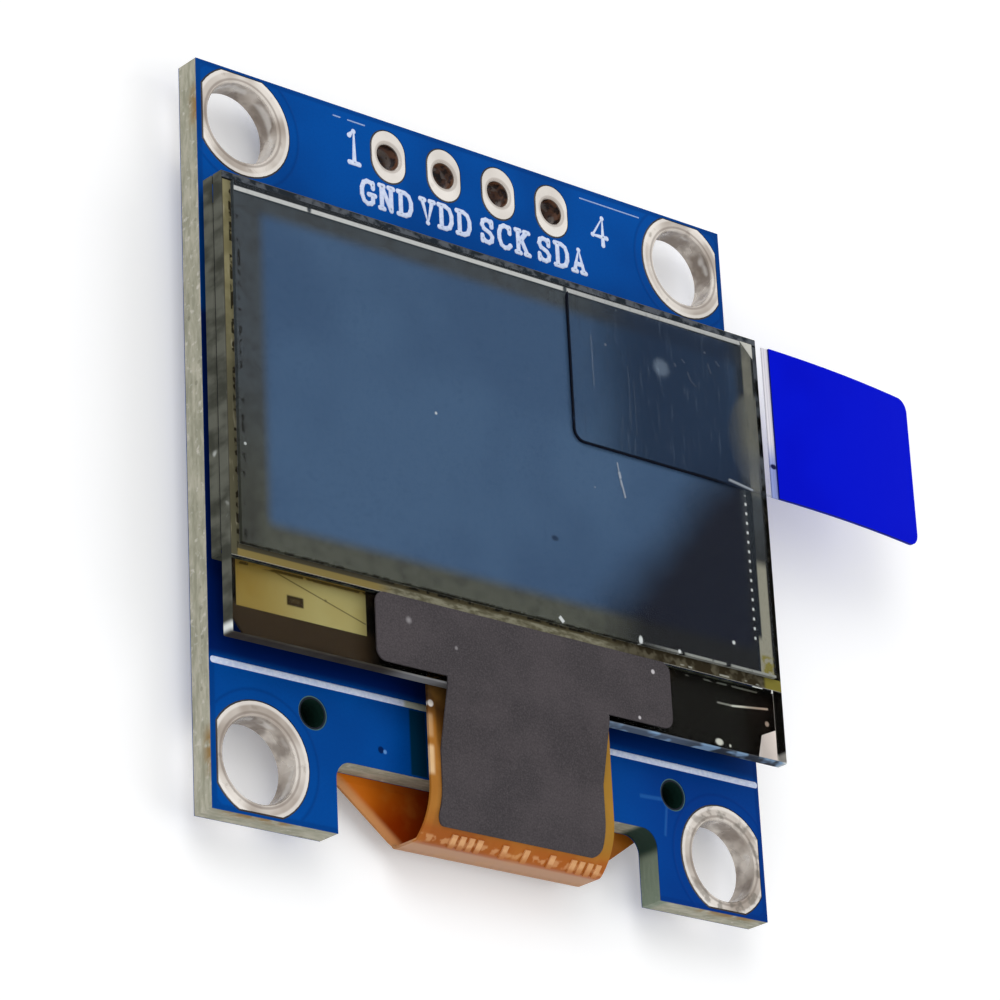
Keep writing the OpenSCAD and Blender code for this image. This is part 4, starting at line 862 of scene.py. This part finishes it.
# studio: floor, world, lamps and camera
studio = dict(floor=(0.88, 0.88, 0.88, 1), floorGlow=0.22, world=(0.97, 0.98, 1.0, 1), worldStrength=0.62,
              seenStrength=1.0, lens=154.032,
              eye=(-90.530, -56.295, 105.0015),
              lamps=[("key", (-0.25, 0.30, 0.42), 0.42, 1.1), ("fill", (0.38, -0.10, 0.40), 0.46, 0.7),
                     ("side", (-0.45, -0.35, 0.25), 0.36, 0.3)])


def seenRays(tree):  # 1 for rays from the camera, off gloss and through glass
    path = tree.nodes.new("ShaderNodeLightPath")
    total = path.outputs["Is Camera Ray"]
    for name in ("Is Glossy Ray", "Is Transmission Ray"):
        more = tree.nodes.new("ShaderNodeMath")
        more.operation = "MAXIMUM"
        tree.links.new(total, more.inputs[0])
        tree.links.new(path.outputs[name], more.inputs[1])
        total = more.outputs[0]
    return total


def buildStudio():
    scene = bpy.context.scene
    scene.view_settings.view_transform = "Standard"
    low = cadBox[0][2]
    mesh = bpy.data.meshes.new("floor")
    size = 3.0
    mesh.from_pydata([(-size, -size, low), (size, -size, low), (size, size, low), (-size, size, low)], [],
                     [(0, 1, 2, 3)])
    floor = bpy.data.objects.new("floor", mesh)
    scene.collection.objects.link(floor)
    paint = bpy.data.materials.new("paleFloor")
    paint.use_nodes = True
    skin = paint.node_tree.nodes["Principled BSDF"]
    skin.inputs["Base Color"].default_value = studio["floor"]
    skin.inputs["Roughness"].default_value = 0.9
    skin.inputs["Specular IOR Level"].default_value = 0.1
    seen = seenRays(paint.node_tree)
    glow = paint.node_tree.nodes.new("ShaderNodeMath")
    glow.operation = "MULTIPLY"
    paint.node_tree.links.new(seen, glow.inputs[0])
    glow.inputs[1].default_value = studio["floorGlow"]
    skin.inputs["Emission Color"].default_value = (1, 1, 1, 1)
    paint.node_tree.links.new(glow.outputs[0], skin.inputs["Emission Strength"])
    mesh.materials.append(paint)
    world = bpy.data.worlds.new("studio")
    scene.world = world
    world.use_nodes = True
    sky = world.node_tree.nodes["Background"]
    sky.inputs[0].default_value = studio["world"]
    level = world.node_tree.nodes.new("ShaderNodeMapRange")
    level.inputs[3].default_value = studio["worldStrength"]
    level.inputs[4].default_value = studio["seenStrength"]
    world.node_tree.links.new(seenRays(world.node_tree), level.inputs[0])
    world.node_tree.links.new(level.outputs[0], sky.inputs[1])
    for name, spot, side, power in studio["lamps"]:
        lamp = bpy.data.lights.new(name, "AREA")
        lamp.size = side
        lamp.energy = power
        obj = bpy.data.objects.new(name, lamp)
        obj.location = spot
        obj.visible_glossy = False
        obj.rotation_euler = (-Vector(spot)).to_track_quat("-Z", "Y").to_euler()
        scene.collection.objects.link(obj)
    cam = bpy.data.cameras.new("camera")
    cam.lens = studio["lens"]
    cam.sensor_width = 36
    cam.clip_start = 0.01
    obj = bpy.data.objects.new("camera", cam)
    turn = Matrix(((0.7636298684, -0.2102010402, -0.6104792763),
                   (-0.0468778047, 0.9249746290, -0.3771265135),
                   (0.6439502276, 0.3166029981, 0.6964844909)))
    obj.matrix_world = Matrix.Translation(Vector(studio["eye"]) * mm) @ turn.to_4x4()
    scene.collection.objects.link(obj)
    scene.camera = obj


print("studio")
buildStudio()
